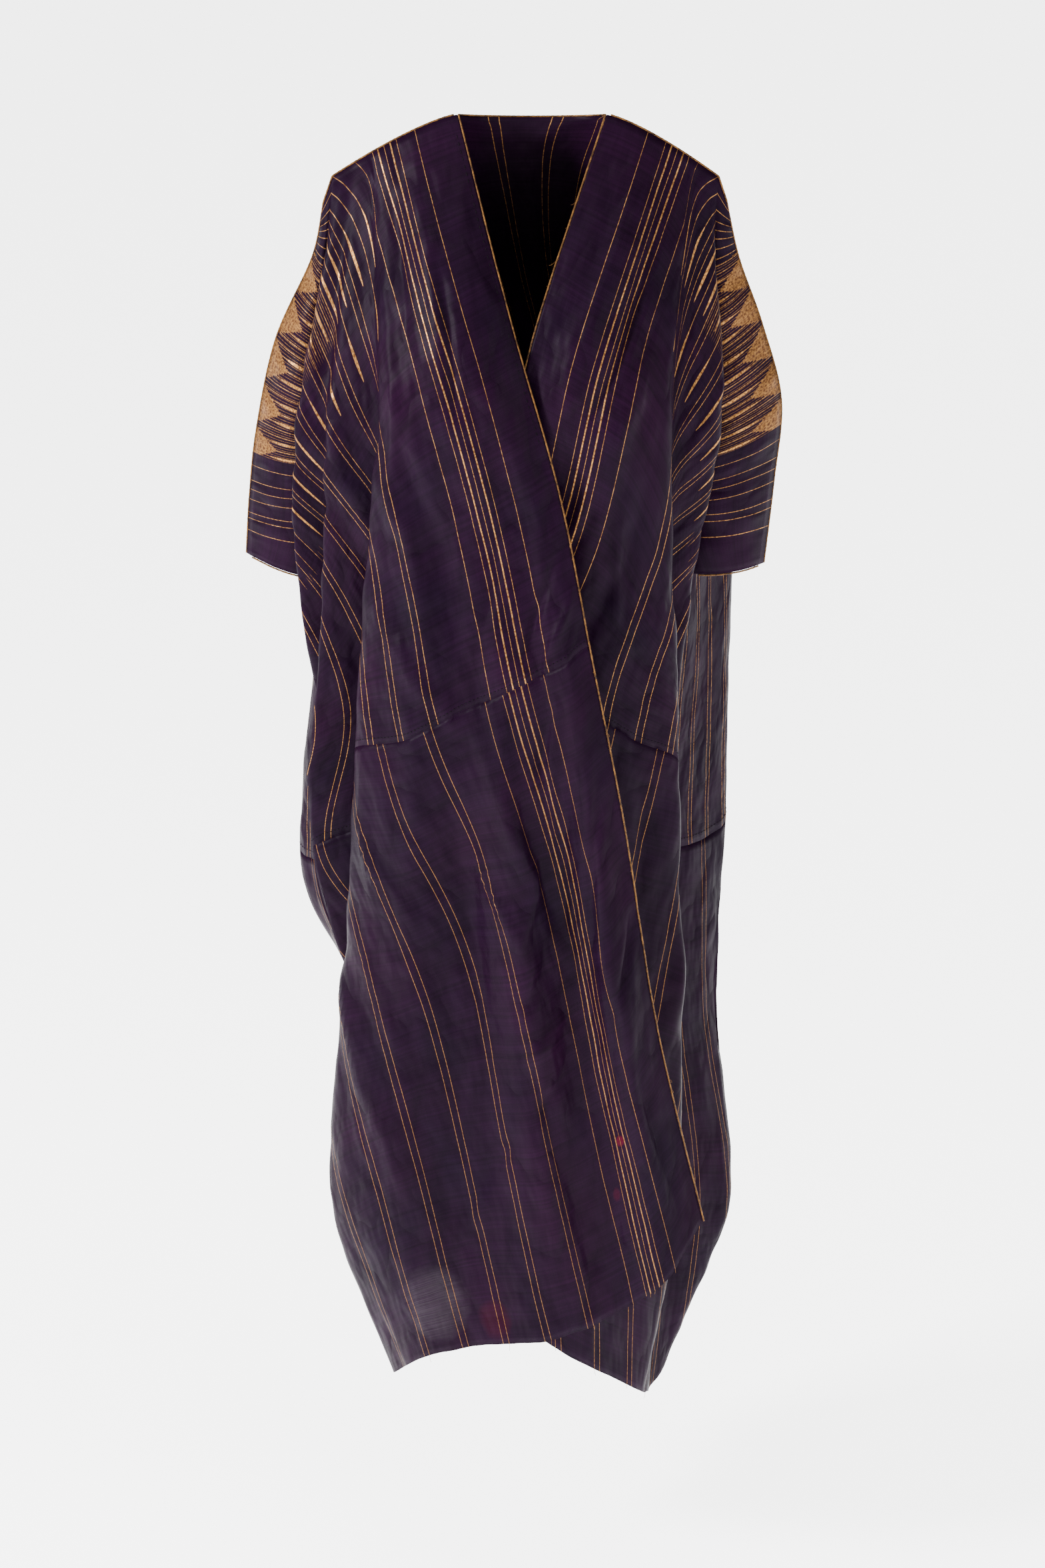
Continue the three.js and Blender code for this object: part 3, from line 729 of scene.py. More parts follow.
def back_panel(seed: int) -> Panel:
    """Lays the back with the back faces of both sleeves, from the wearer's right to the left.

    Args:
        seed: Which cloth it is.

    Returns:
        The panel.
    """
    right_side = back_side_places(RIGHT_FRONT[-1], BEHIND_RIGHT_ARM, STATIONS)
    left_side = back_side_places(LEFT_FRONT[-1], BEHIND_LEFT_ARM, STATIONS)
    table = np.array(
        [
            line_places(RIGHT_FRONT[-2], STATIONS),
            right_side,
            line_places(RIGHT_ELBOW, STATIONS),
            *[back_fold_places(fold, STATIONS) for fold in BACK_FOLDS],
            line_places(LEFT_ELBOW, STATIONS),
            left_side,
            line_places(LEFT_FRONT[-2], STATIONS),
        ]
    )
    spans = len(table) - 3
    body = chord_curve(table, np.linspace(1, 1 + spans, spans * BACK_CELLS + 1)).transpose(1, 0, 2)
    body[0] = [shoulder_point(p[0]) for p in body[0]]
    lengths = widths_across(body)
    from_side = np.minimum(lengths, lengths[:, -1:] - lengths)
    half = lengths[:, -1:] / 2
    reach = read_table(SIDE_ACROSS, STATIONS)[:, None]
    across = (1 - from_side / half) * reach
    share = 1 - from_side / half
    edge_down = read_table(EDGE_DOWN, STATIONS)[:, None]
    side_down = read_table(SIDE_DOWN, STATIONS)[:, None]
    down = edge_down + (side_down - edge_down) * smooth_step(SIDE_COUNTS_FROM, 1.0, share)
    flap_rows = SLIT_ROW + 1
    flaps = []
    for sleeve, edge in ((RIGHT_SLEEVE, body[:flap_rows, 0]), (LEFT_SLEEVE, body[:flap_rows, -1])):
        flap = np.zeros((len(STATIONS), FLAP_CELLS, 3))
        faces = sleeve_places(sleeve, edge, STATIONS[:flap_rows], sleeve.back_swell)
        flap[:flap_rows] = faces.transpose(1, 0, 2)
        flaps.append(flap)
    fall = 1 - np.arange(1, FLAP_CELLS + 1) / FLAP_CELLS
    flap_across = np.repeat(reach, FLAP_CELLS, axis=1)
    flap_down = side_down * fall
    whole = np.ones((len(STATIONS), body.shape[1] + 2 * FLAP_CELLS), bool)
    whole[flap_rows:, :FLAP_CELLS] = False
    whole[flap_rows:, -FLAP_CELLS:] = False
    return Panel(
        "back",
        np.concatenate((flaps[0][:, ::-1], body, flaps[1]), axis=1),
        np.concatenate((flap_across, across, flap_across), axis=1),
        np.concatenate((flap_down[:, ::-1], down, flap_down), axis=1),
        whole,
        1,
        BACK_CREASES,
        seed,
    )


# ----------------------------------------------------------------------------------------------------------
# Shader expressions
# ----------------------------------------------------------------------------------------------------------


class Shade:
    """A value in a material's node tree that adds its own Math nodes when it is used in an expression."""

    def __init__(self, kit: Kit, socket: bpy.types.NodeSocket) -> None:
        """Wraps an output socket."""
        self.kit = kit
        self.socket = socket

    def _math(self, operation: str, *values: Shade | float, clamp: bool = False) -> Shade:
        """Adds a Math node and gives its result."""
        return self.kit.math(operation, *values, clamp=clamp)

    def __add__(self, other: Shade | float) -> Shade:
        """Adds."""
        return self._math("ADD", self, other)

    __radd__ = __add__

    def __mul__(self, other: Shade | float) -> Shade:
        """Multiplies."""
        return self._math("MULTIPLY", self, other)

    __rmul__ = __mul__

    def __sub__(self, other: Shade | float) -> Shade:
        """Subtracts."""
        return self._math("SUBTRACT", self, other)

    def __rsub__(self, other: Shade | float) -> Shade:
        """Subtracts from a number."""
        return self._math("SUBTRACT", other, self)

    def __abs__(self) -> Shade:
        """Drops the sign."""
        return self._math("ABSOLUTE", self)

    def wrap(self, period: float) -> Shade:
        """Repeats the value from 0 to the period."""
        return self._math("WRAP", self, period, 0.0)

    def floor(self) -> Shade:
        """Rounds down."""
        return self._math("FLOOR", self)

    def below(self, limit: Shade | float, soft: float) -> Shade:
        """Gives 1 where the value is under the limit, with a soft edge."""
        return self._math("MULTIPLY_ADD", limit - self, 1 / soft, 0.5, clamp=True)

    def above(self, limit: float, soft: float) -> Shade:
        """Gives 1 where the value is over the limit, with a soft edge."""
        return self._math("MULTIPLY_ADD", self - limit, 1 / soft, 0.5, clamp=True)

    def most(self, other: Shade | float) -> Shade:
        """Gives the larger of two values."""
        return self._math("MAXIMUM", self, other)

    def clip(self) -> Shade:
        """Holds the value between 0 and 1."""
        return self._math("ADD", self, 0.0, clamp=True)


class Kit:
    """Adds nodes to one material."""

    def __init__(self, name: str) -> None:
        """Starts a material with no nodes but its output."""
        self.material = bpy.data.materials.new(name)
        self.material.use_nodes = True
        self.tree = self.material.node_tree
        self.tree.nodes.clear()

    def node(
        self,
        kind: str,
        settings: dict[str, object] | None = None,
        inputs: dict[str | int, object] | None = None,
    ) -> bpy.types.Node:
        """Adds a node.

        Args:
            kind: The node's type.
            settings: Its properties, which are set first.
            inputs: Values or links for its sockets, by name or number.

        Returns:
            The node.
        """
        made = self.tree.nodes.new(kind)
        for key, value in (settings or {}).items():
            if key == "stops":
                self.set_stops(made, value)
            else:
                setattr(made, key, value)
        for key, value in (inputs or {}).items():
            socket = made.inputs[key]
            if isinstance(value, Shade):
                value = value.socket
            if isinstance(value, bpy.types.NodeSocket):
                self.tree.links.new(value, socket)
            else:
                socket.default_value = value
        return made

    @staticmethod
    def set_stops(ramp: bpy.types.Node, stops: Sequence[tuple[float, Sequence[float]]]) -> None:
        """Sets a colour ramp's stops."""
        elements = ramp.color_ramp.elements
        while len(elements) < len(stops):
            elements.new(0.5)
        for element, (place, colour) in zip(elements, stops):
            element.position = place
            element.color = (*colour, 1)

    def math(self, operation: str, *values: Shade | float, clamp: bool = False) -> Shade:
        """Adds a Math node.

        Args:
            operation: Its operation.
            values: Its inputs.
            clamp: Whether the result is held between 0 and 1.

        Returns:
            The result.
        """
        settings = {"operation": operation, "use_clamp": clamp}
        return Shade(self, self.node("ShaderNodeMath", settings, dict(enumerate(values))).outputs[0])

    def mix(self, mask: Shade, low: object, high: object) -> bpy.types.NodeSocket:
        """Mixes two colours by a mask."""
        settings = {"data_type": "RGBA", "clamp_factor": True}
        return self.node("ShaderNodeMix", settings, {0: mask, 6: low, 7: high}).outputs[2]

    def noise(self, vector: bpy.types.NodeSocket, scale: float, detail: float = 2.0) -> Shade:
        """Adds a noise texture and gives its value."""
        inputs = {"Vector": vector, "Scale": scale, "Detail": detail}
        return Shade(self, self.node("ShaderNodeTexNoise", {}, inputs).outputs["Fac"])

    def grain(self, cloth: bpy.types.NodeSocket, grain: Grain, detail: float = 2.0) -> Shade:
        """Adds one of the silk's uneven patterns.

        Args:
            cloth: The place on the flat cloth, in metres.
            grain: Which pattern.
            detail: How many finer layers it has.

        Returns:
            Its value.
        """
        stretched = self.node("ShaderNodeMapping", {}, {"Vector": cloth, "Scale": grain.value})
        return self.noise(stretched.outputs["Vector"], 1.0, detail)

    def finish(self, inputs: dict[str, object]) -> bpy.types.Material:
        """Adds the surface shader and the output.

        Args:
            inputs: The shader's inputs.

        Returns:
            The finished material.
        """
        surface = self.node("ShaderNodeBsdfPrincipled", {}, inputs)
        self.node("ShaderNodeOutputMaterial", {}, {"Surface": surface.outputs[0]})
        return self.material


# ----------------------------------------------------------------------------------------------------------
# Finishes
# ----------------------------------------------------------------------------------------------------------

Colour = tuple[float, float, float, float]


def linear(red: int, green: int, blue: int) -> Colour:
    """Turns a colour of 0 to 255 into the shader's linear values."""
    values = []
    for value in (red, green, blue):
        share = value / 255
        values.append(share / 12.92 if value <= 10 else ((share + 0.055) / 1.055) ** 2.4)
    return (values[0], values[1], values[2], 1.0)


class Width(Enum):
    """The widths of gilt stripe that the weaver used, in cm."""

    THREAD = 0.05
    BAND = 0.135


@dataclass(frozen=True)
class Stripe:
    """A gilt stripe that runs the length of a width, by its distance from the front edge in cm."""

    across: float
    width: Width = Width.THREAD


@dataclass(frozen=True)
class Dagger:
    """A gilt thread that swells to a point, by its place and its point's distance from the seam, in cm."""

    across: float
    point: float


@dataclass(frozen=True)
class Spot:
    """A stain or a thin place, by its middle and half sizes on the flat cloth in cm, and how strong it is."""

    across: float
    down: float
    half_across: float
    half_down: float
    strength: float


RED_STAINS = (
    Spot(8.3, 104.5, 0.7, 0.6, 0.17),
    Spot(10.4, 109.5, 0.6, 0.8, 0.05),
    Spot(29.5, 118.4, 2.2, 2.2, 0.035),
)
THIN_PLACES = (Spot(37.0, 115.6, 4.6, 4.2, 0.11),)


@dataclass(frozen=True)
class Repeat:
    """The pairs of threads across a width, in cm: where one lies, how often, how far apart, from where."""

    start: float
    every: float
    apart: float
    first: float


def front_stripes(single: float, group: float, step: float, last: float) -> tuple[Stripe, ...]:
    """Lays the stripes beside a front edge: a single, a group of five by turns thin and thick, and a single.

    Args:
        single: Where the first single stripe lies, in cm from the front edge.
        group: Where the group starts.
        step: The step from stripe to stripe in the group.
        last: Where the last single stripe lies.

    Returns:
        The stripes.
    """
    five = (Stripe(group + step * k, Width.BAND if k % 2 else Width.THREAD) for k in range(5))
    return (Stripe(single), *five, Stripe(last))


UPPER_STRIPES = front_stripes(4.5, 6.5, 0.65, 10.9)
LOWER_STRIPES = front_stripes(5.2, 7.0, 0.65, 11.6)
CUFF_STRIPES = tuple(Stripe(across) for across in (39.9, 41.7, 42.8, 44.0, 45.6, 46.3, 47.7))
UPPER_REPEAT = Repeat(16.5, 3.7, 0.7, 16.0)
LOWER_REPEAT = Repeat(17.2, 5.6, 0.8, 16.7)
DAGGERS = (Dagger(1.4, 7.5), Dagger(2.25, 14.3), Dagger(3.1, 7.5))
SHOULDER_DAGGERS = (Dagger(13.0, 7.5), Dagger(14.3, 14.3), Dagger(15.6, 7.5))
SLEEVE_DEPTH = 14.5  # cm from the outer seam to where the sleeve's pattern gives way to the body's
LAST_DAGGER = 38.4  # cm from the front edge, where the daggers give way to the cuff's stripes
DAGGER_LENGTH = 4.5  # cm, how far a dagger swells before its point
DAGGER_SWELL = 0.42  # cm, what the swelling adds to a dagger's half width before its two tapers
WEDGE_HALF, WEDGE_HEIGHT, WEDGE_STEPS = 1.5, 3.3, 9.0  # cm and steps of a stepped wedge
WEDGE_START = 20.0  # cm from the front edge, where the wedges begin
WEDGE_GILT = 0.55  # how much of a wedge's ground its gilt covers
FINE_EVERY, FINE_HALF = 0.26, 0.02  # cm, the fine threads between the wedges
FINE_DEPTH = 8.0  # cm from the outer seam to where the fine threads fade
FINE_GILT = 0.45
LOWER_GILT = linear(132, 94, 54)


class Grain(Enum):
    """The silk's uneven patterns, by how often each one comes in a metre across and down the cloth."""

    WANDER = (5.0, 12.0, 1.0)
    SLUB = (1000.0, 24.0, 1.0)
    WEFT = (14.0, 1200.0, 1.0)
    BAR = (3.0, 260.0, 1.0)
    CLOUD = (9.0, 7.0, 1.0)
    RUMPLE = (34.0, 15.0, 1.0)
    FOLD = (17.0, 11.0, 1.0)
    # GLINT gives the painted glints on the gilt, not a pattern of the silk.
    GLINT = (500.0, 380.0, 1.0)


@dataclass(frozen=True)
class Silk:
    """The aubergine silk with its gilt stripes, one cloth for each part of the robe."""

    name: str
    repeat: Repeat
    stripes: tuple[Stripe, ...] = ()
    sleeve: bool = False
    stains: tuple[Spot, ...] = ()
    thin: tuple[Spot, ...] = ()
    stain_red: Colour = linear(128, 14, 34)
    thin_grey: Colour = linear(112, 104, 110)
    ground: Colour = linear(30, 8, 30)
    ground_cool: Colour = linear(21, 8, 25)
    # The dark of the weave's threads, also used as painted shade along the creases.
    dark_weave_and_crease_shade: Colour = linear(8, 3, 9)
    gilt: Colour = linear(160, 114, 62)
    gilt_dark: Colour = linear(92, 58, 30)

    def material(self) -> bpy.types.Material:
        """Builds the material.

        Returns:
            The material.
        """
        kit = Kit(self.name)
        uv = kit.node("ShaderNodeUVMap", {"uv_map": "cloth"}).outputs["UV"]
        parts = kit.node("ShaderNodeSeparateXYZ", {}, {0: uv})
        across = Shade(kit, parts.outputs[0]) * 100.0
        down = Shade(kit, parts.outputs[1]) * 100.0
        wander = (kit.grain(uv, Grain.WANDER) - 0.5) * 0.1
        mask = self.gilt_mask(kit, across + wander, down)
        slubs = kit.grain(uv, Grain.SLUB)
        wefts = kit.grain(uv, Grain.WEFT)
        bars = kit.grain(uv, Grain.BAR, 1.0)
        cloudy = kit.grain(uv, Grain.CLOUD, 3.0)
        ground = kit.mix(cloudy.above(0.5, 0.34), self.ground, self.ground_cool)
        thread = wefts.above(0.5, 0.5) * 0.3 + slubs.above(0.5, 0.5) * 0.15 + bars.above(0.55, 0.4) * 0.34
        ground = kit.mix(thread, ground, self.dark_weave_and_crease_shade)
        rumple = kit.grain(uv, Grain.RUMPLE)
        folds = abs(kit.grain(uv, Grain.FOLD) - 0.5) * 1.6
        # Painted shade: the ground is darkened along the crease lines of the fold pattern, which the bump
        # below also follows.
        ground = kit.mix(folds.below(0.08, 0.16) * 0.3, ground, self.dark_weave_and_crease_shade)
        for spot in self.stains:
            ground = kit.mix(self.spot_mask(kit, across, down, spot), ground, self.stain_red)
        for spot in self.thin:
            worn = self.spot_mask(kit, across, down, spot) * (wefts.above(0.5, 0.3) * 0.7 + 0.3)
            ground = kit.mix(worn, ground, self.thin_grey)
        # Painted glints: the gilt is drawn bright in fine specks over its darker colour.
        glint = kit.grain(uv, Grain.GLINT, 1.0)
        gilt = kit.mix(glint.above(0.5, 0.3), self.gilt_dark, self.gilt)
        colour = kit.mix(mask, ground, gilt)
        weave = wefts * 0.6 + slubs * 0.4 + mask * 0.5
        crumpled = {"Strength": 1.0, "Distance": 0.0055, "Height": rumple + folds}
        soft = kit.node("ShaderNodeBump", {}, crumpled)
        fine = {"Strength": 0.35, "Distance": 0.0004, "Height": weave, "Normal": soft.outputs[0]}
        bump = kit.node("ShaderNodeBump", {}, fine)
        roughness = 0.46 + (wefts - 0.5) * 0.14 - mask * 0.1
        return kit.finish(
            {
                "Base Color": colour,
                "Roughness": roughness,
                "Metallic": mask * 0.35,
                "Normal": bump.outputs[0],
                "IOR": 1.16,
                "Specular IOR Level": 0.2,
            }
        )

    @staticmethod
    def spot_mask(kit: Kit, across: Shade, down: Shade, spot: Spot) -> Shade:
        """Draws a soft uneven spot.

        Args:
            kit: The material's kit.
            across: The place across the cloth, in cm.
            down: The place down the cloth, in cm.
            spot: The spot.

        Returns:
            The spot's strength in its middle, 0 outside it.
        """
        east = (across - spot.across) * (1 / spot.half_across)
        south = (down - spot.down) * (1 / spot.half_down)
        ragged = kit.noise(kit.node("ShaderNodeUVMap", {"uv_map": "cloth"}).outputs["UV"], 60.0) - 0.5
        return (east * east + south * south + ragged * 0.9).below(0.7, 0.8) * spot.strength

    def gilt_mask(self, kit: Kit, across: Shade, down: Shade) -> Shade:
        """Draws everything that is gilt.

        Args:
            kit: The material's kit.
            across: The place across the cloth, in cm.
            down: The place down the cloth, in cm.

        Returns:
            1 on gilt thread, 0 on the ground.
        """
        every = self.repeat.every
        step = (across - self.repeat.start + every / 2).wrap(every) - every / 2
        mask = self.thread(step, 0.0).most(self.thread(step, self.repeat.apart))
        mask = mask * across.above(self.repeat.first, 0.1)
        if self.sleeve:
            on_sleeve = down.below(SLEEVE_DEPTH, 1.0)
            mask = mask * (1 - on_sleeve * across.above(LAST_DAGGER, 0.1))
            for stripe in CUFF_STRIPES:
                mask = mask.most(self.thread(across, stripe.across) * on_sleeve)
            mask = mask.most(self.sleeve_mask(across, down))
        for stripe in self.stripes:
            mask = mask.most(self.thread(across, stripe.across, stripe.width))
        return mask

    @staticmethod
    def thread(across: Shade, place: float, width: Width = Width.THREAD) -> Shade:
        """Draws one stripe."""
        return abs(across - place).below(width.value / 2, 0.03)

    def sleeve_mask(self, across: Shade, down: Shade) -> Shade:
        """Draws the daggers, the stepped wedges at the sleeve's outer seam and the fine threads between them.

        Args:
            across: The place across the cloth, in cm.
            down: The place down the cloth, in cm.

        Returns:
            1 on gilt thread, 0 on the ground.
        """
        place = (across - self.repeat.start).wrap(self.repeat.every)
        stretch = across.above(self.repeat.start, 0.1) * across.below(LAST_DAGGER, 0.1)
        daggers = None
        for dagger in DAGGERS:
            drawn = self.dagger_mask(place, down, dagger)
            daggers = drawn if daggers is None else daggers.most(drawn)
        mask = daggers * stretch
        for dagger in SHOULDER_DAGGERS:
            mask = mask.most(self.dagger_mask(across, down, dagger))
        from_middle = abs(place - DAGGERS[1].across)
        stair = (down * (WEDGE_STEPS / WEDGE_HEIGHT)).floor() * (WEDGE_HEIGHT / WEDGE_STEPS)
        half = (1 - stair * (1 / WEDGE_HEIGHT)) * WEDGE_HALF
        wedge = from_middle.below(half, 0.04) * down.below(WEDGE_HEIGHT, 0.05)
        fine = abs(across.wrap(FINE_EVERY) - FINE_EVERY / 2).below(FINE_HALF, 0.04)
        fine = fine * down.below(FINE_DEPTH, 0.8) * FINE_GILT
        beside_seam = (wedge * WEDGE_GILT).most(fine)
        return mask.most(beside_seam * across.above(WEDGE_START, 0.1) * across.below(LAST_DAGGER, 0.1))

    @staticmethod
    def dagger_mask(across: Shade, down: Shade, dagger: Dagger) -> Shade:
        """Draws a thread that runs from the seam, swells and comes to a point."""
        left = (dagger.point - down) * (1 / DAGGER_LENGTH)
        swell = left.clip() * (1 - left * 0.9).clip() * DAGGER_SWELL + 0.03
        return abs(across - dagger.across).below(swell, 0.05) * down.below(dagger.point, 0.1)


@dataclass(frozen=True)
class GiltCord:
    """A cord plied from gilt thread over a dark core."""

    name: str = "gilt_cord"
    light: Colour = linear(120, 82, 40)
    dark: Colour = linear(34, 22, 14)

    def material(self) -> bpy.types.Material:
        """Builds the material.

        Returns:
            The material.
        """
        kit = Kit(self.name)
        place = kit.node("ShaderNodeTexCoord").outputs["Object"]
        worn = kit.noise(place, 160.0, 3.0)
        fine = kit.noise(place, 2400.0, 1.0)
        colour = kit.mix((worn * 0.7 + fine * 0.5).above(0.6, 0.3), self.dark, self.light)
        bump = kit.node("ShaderNodeBump", {}, {"Strength": 0.4, "Distance": 0.0003, "Height": fine})
        return kit.finish(
            {
                "Base Color": colour,
                "Roughness": 0.5 + worn * 0.15,
                "Metallic": 0.45,
                "Normal": bump.outputs[0],
                "Specular IOR Level": 0.15,
            }
        )


@dataclass(frozen=True)
class PlainThread:
    """Sewing thread of one colour."""

    name: str
    colour: Colour

    def material(self) -> bpy.types.Material:
        """Builds the material.

        Returns:
            The material.
        """
        kit = Kit(self.name)
        place = kit.node("ShaderNodeTexCoord").outputs["Object"]
        twist = kit.noise(place, 1800.0, 1.0)
        dark = tuple(v * 0.5 for v in self.colour[:3]) + (1.0,)
        colour = kit.mix(twist, dark, self.colour)
        return kit.finish({"Base Color": colour, "Roughness": 0.7, "Specular IOR Level": 0.1})


# ----------------------------------------------------------------------------------------------------------
# The robe
# ----------------------------------------------------------------------------------------------------------


def dress(
    piece: bpy.types.Object,
    material: bpy.types.Material,
    nodes: Iterable[str] = (),
) -> None:
    """Gives a piece its material and its place in the robe.

    Args:
        piece: The piece.
        material: Its material.
        nodes: The solids that it stands for.
    """
    piece.data.materials.clear()
    piece.data.materials.append(material)
    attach(piece, "root")
    if nodes:
        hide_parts(*nodes)
    log.info("%s: %d faces", piece.name, len(piece.data.polygons))


def even_path(points: np.ndarray, step: float) -> np.ndarray:
    """Places points along a path at even steps.

    Args:
        points: The path, in mm.
        step: The step, in mm.

    Returns:
        The even points, in mm.
    """
    length = np.concatenate(((0,), np.cumsum(np.linalg.norm(np.diff(points, axis=0), axis=1))))
    at = np.linspace(0, length[-1], max(2, int(length[-1] / step)))
    return np.stack([np.interp(at, length, points[:, k]) for k in range(3)], axis=1)


def close_tube(mesh: bmesh.types.BMesh, rings: Sequence[Sequence[bmesh.types.BMVert]]) -> None:
    """Makes a tube's wall between its rings, and closes both ends.

    Args:
        mesh: The mesh that holds the rings.
        rings: The rings, from one end to the other.
    """
    sides = len(rings[0])
    for before, after in zip(rings, rings[1:]):
        for s in range(sides):
            t = (s + 1) % sides
            mesh.faces.new((before[s], before[t], after[t], after[s])).smooth = True
    mesh.faces.new(list(reversed(rings[0])))
    mesh.faces.new(rings[-1])


@dataclass
class GiltEdging:
    """The gilt cords that are sewn along the robe's edges and its shoulder seams."""

    right: Panel
    left: Panel
    back: Panel
    radius: float = 0.95
    gap: float = 0.35
    lay: float = 5.0  # mm for one turn of the plies
    plies: int = 3
    groove: float = 0.22  # how deep the grooves between the plies are, as a share of the radius
    sides: int = 12
    step: float = 1.3  # mm between two rings
    sunk: float = 0.7  # how far off a seam a cord's middle lies, as a share of its radius

    def beside(self, edge: np.ndarray, inside: np.ndarray, clear: float) -> np.ndarray:
        """Moves an edge's points away from the cloth.

        Args:
            edge: The edge's points, in mm.
            inside: The points next to them in the cloth.
            clear: How far they move.

        Returns:
            The moved points.
        """
        way = edge - inside
        return edge + way / np.linalg.norm(way, axis=1)[:, None] * clear

    def tube(self, name: str, path: np.ndarray) -> bpy.types.Object:
        """Makes a plied cord along a path.

        Args:
            name: The object's name.
            path: The path, in mm.

        Returns:
            The cord.
        """
        path = even_path(path, self.step)
        mesh = bmesh.new()
        rings = []
        side = np.array((0.0, 1.0, 0.0))
        turned = 0.0
        for k, place in enumerate(path):
            along = path[min(len(path) - 1, k + 1)] - path[max(0, k - 1)]
            along = along / np.linalg.norm(along)
            side = side - along * side.dot(along)
            side = side / np.linalg.norm(side)
            up = np.cross(along, side)
            turned += 2 * math.pi * self.step / self.lay
            ring = []
            for s in range(self.sides):
                turn = 2 * math.pi * s / self.sides
                ply = abs(math.cos(self.plies * (turn - turned / self.plies) / 2))
                swell = 1 - self.groove + self.groove * ply
                spoke = side * math.cos(turn) + up * math.sin(turn)
                ring.append(mesh.verts.new((place + spoke * self.radius * swell) * MM))
            rings.append(ring)
        close_tube(mesh, rings)
        return add_piece(name, mesh)

    def build(self, material: bpy.types.Material) -> None:
        """Makes and dresses all the cords.

        Args:
            material: The cord's material.
        """
        clear = self.radius + self.gap
        over = self.radius * self.sunk
        right_edge = self.beside(self.right.places[:, 0], self.right.places[:, 2], clear)
        left_edge = self.beside(self.left.places[:, 0], self.left.places[:, 2], clear)
        top = self.back.places[0]
        neck = top[np.abs(top[:, 0]) < NECK_HALF - 1] + np.array((0, 0, over))
        edge = np.concatenate((right_edge[::-1], neck, left_edge))
        dress(self.tube("gilt_cord_front_and_neck", edge), material, ["edge_cord"])
        for name, front, flap in (("right", self.right, 0), ("left", self.left, -1)):
            self.build_side(name, front, flap, over, material)

    def build_side(
        self,
        name: str,
        front: Panel,
        flap: int,
        over: float,
        material: bpy.types.Material,
    ) -> None:
        """Makes the cords of one shoulder and cuff.

        Args:
            name: right or left.
            front: The front on that side.
            flap: The back's first or last column.
            over: How far the cord lies off a seam, in mm.
            material: The cord's material.
        """
        rows = SLIT_ROW + 1
        top = front.places[0, 3:-1]
        along = np.gradient(top, axis=0)
        up = np.stack((-along[:, 2], np.zeros(len(top)), along[:, 0]), axis=1)
        up = up / np.linalg.norm(up, axis=1)[:, None]
        up[up[:, 2] < 0] *= -1
        inner = 3 if flap == 0 else -4
        seam = (front.places[:rows, -1] + self.back.places[:rows, flap]) / 2
        inside = (front.places[:rows, -4] + self.back.places[:rows, inner]) / 2
        path = np.concatenate((top + up * over, self.beside(seam, inside, over)[2:]))
        dress(self.tube(f"gilt_cord_{name}_shoulder", path), material, [f"{name}_shoulder_cord"])
        clear = self.radius + self.gap
        columns = slice(-FLAP_CELLS + 3, -1)
        back_columns = slice(1, FLAP_CELLS - 3) if flap == 0 else slice(-FLAP_CELLS + 3, -1)
        for face, panel, cols in (("front", front, columns), ("back", self.back, back_columns)):
            edge = panel.places[SLIT_ROW, cols]
            above = panel.places[SLIT_ROW - 2, cols]
            cuff = self.tube(f"gilt_cord_{name}_{face}_cuff", self.beside(edge, above, clear))
            dress(cuff, material, [f"{name}_{face}_cuff_cord"])


def thread_mesh(name: str, paths: Sequence[np.ndarray], radius: float) -> bpy.types.Object:
    """Makes one mesh of thin threads, each a six-sided tube along its own path.

    Args:
        name: The object's name.
        paths: The paths, in mm.
        radius: The threads' radius, in mm.

    Returns:
        The object.
    """
    sides = 6
    mesh = bmesh.new()
    for path in paths:
        rings = []
        side = np.array((0.31, 0.83, 0.46))
        for k, place in enumerate(path):
            along = path[min(len(path) - 1, k + 1)] - path[max(0, k - 1)]
            along = along / max(float(np.linalg.norm(along)), 1e-6)
            side = side - along * side.dot(along)
            side = side / np.linalg.norm(side)
            up = np.cross(along, side)
            turns = [2 * math.pi * n / sides for n in range(sides)]
            spokes = [side * math.cos(turn) + up * math.sin(turn) for turn in turns]
            rings.append([mesh.verts.new((place + spoke * radius) * MM) for spoke in spokes])
        close_tube(mesh, rings)
    return add_piece(name, mesh)


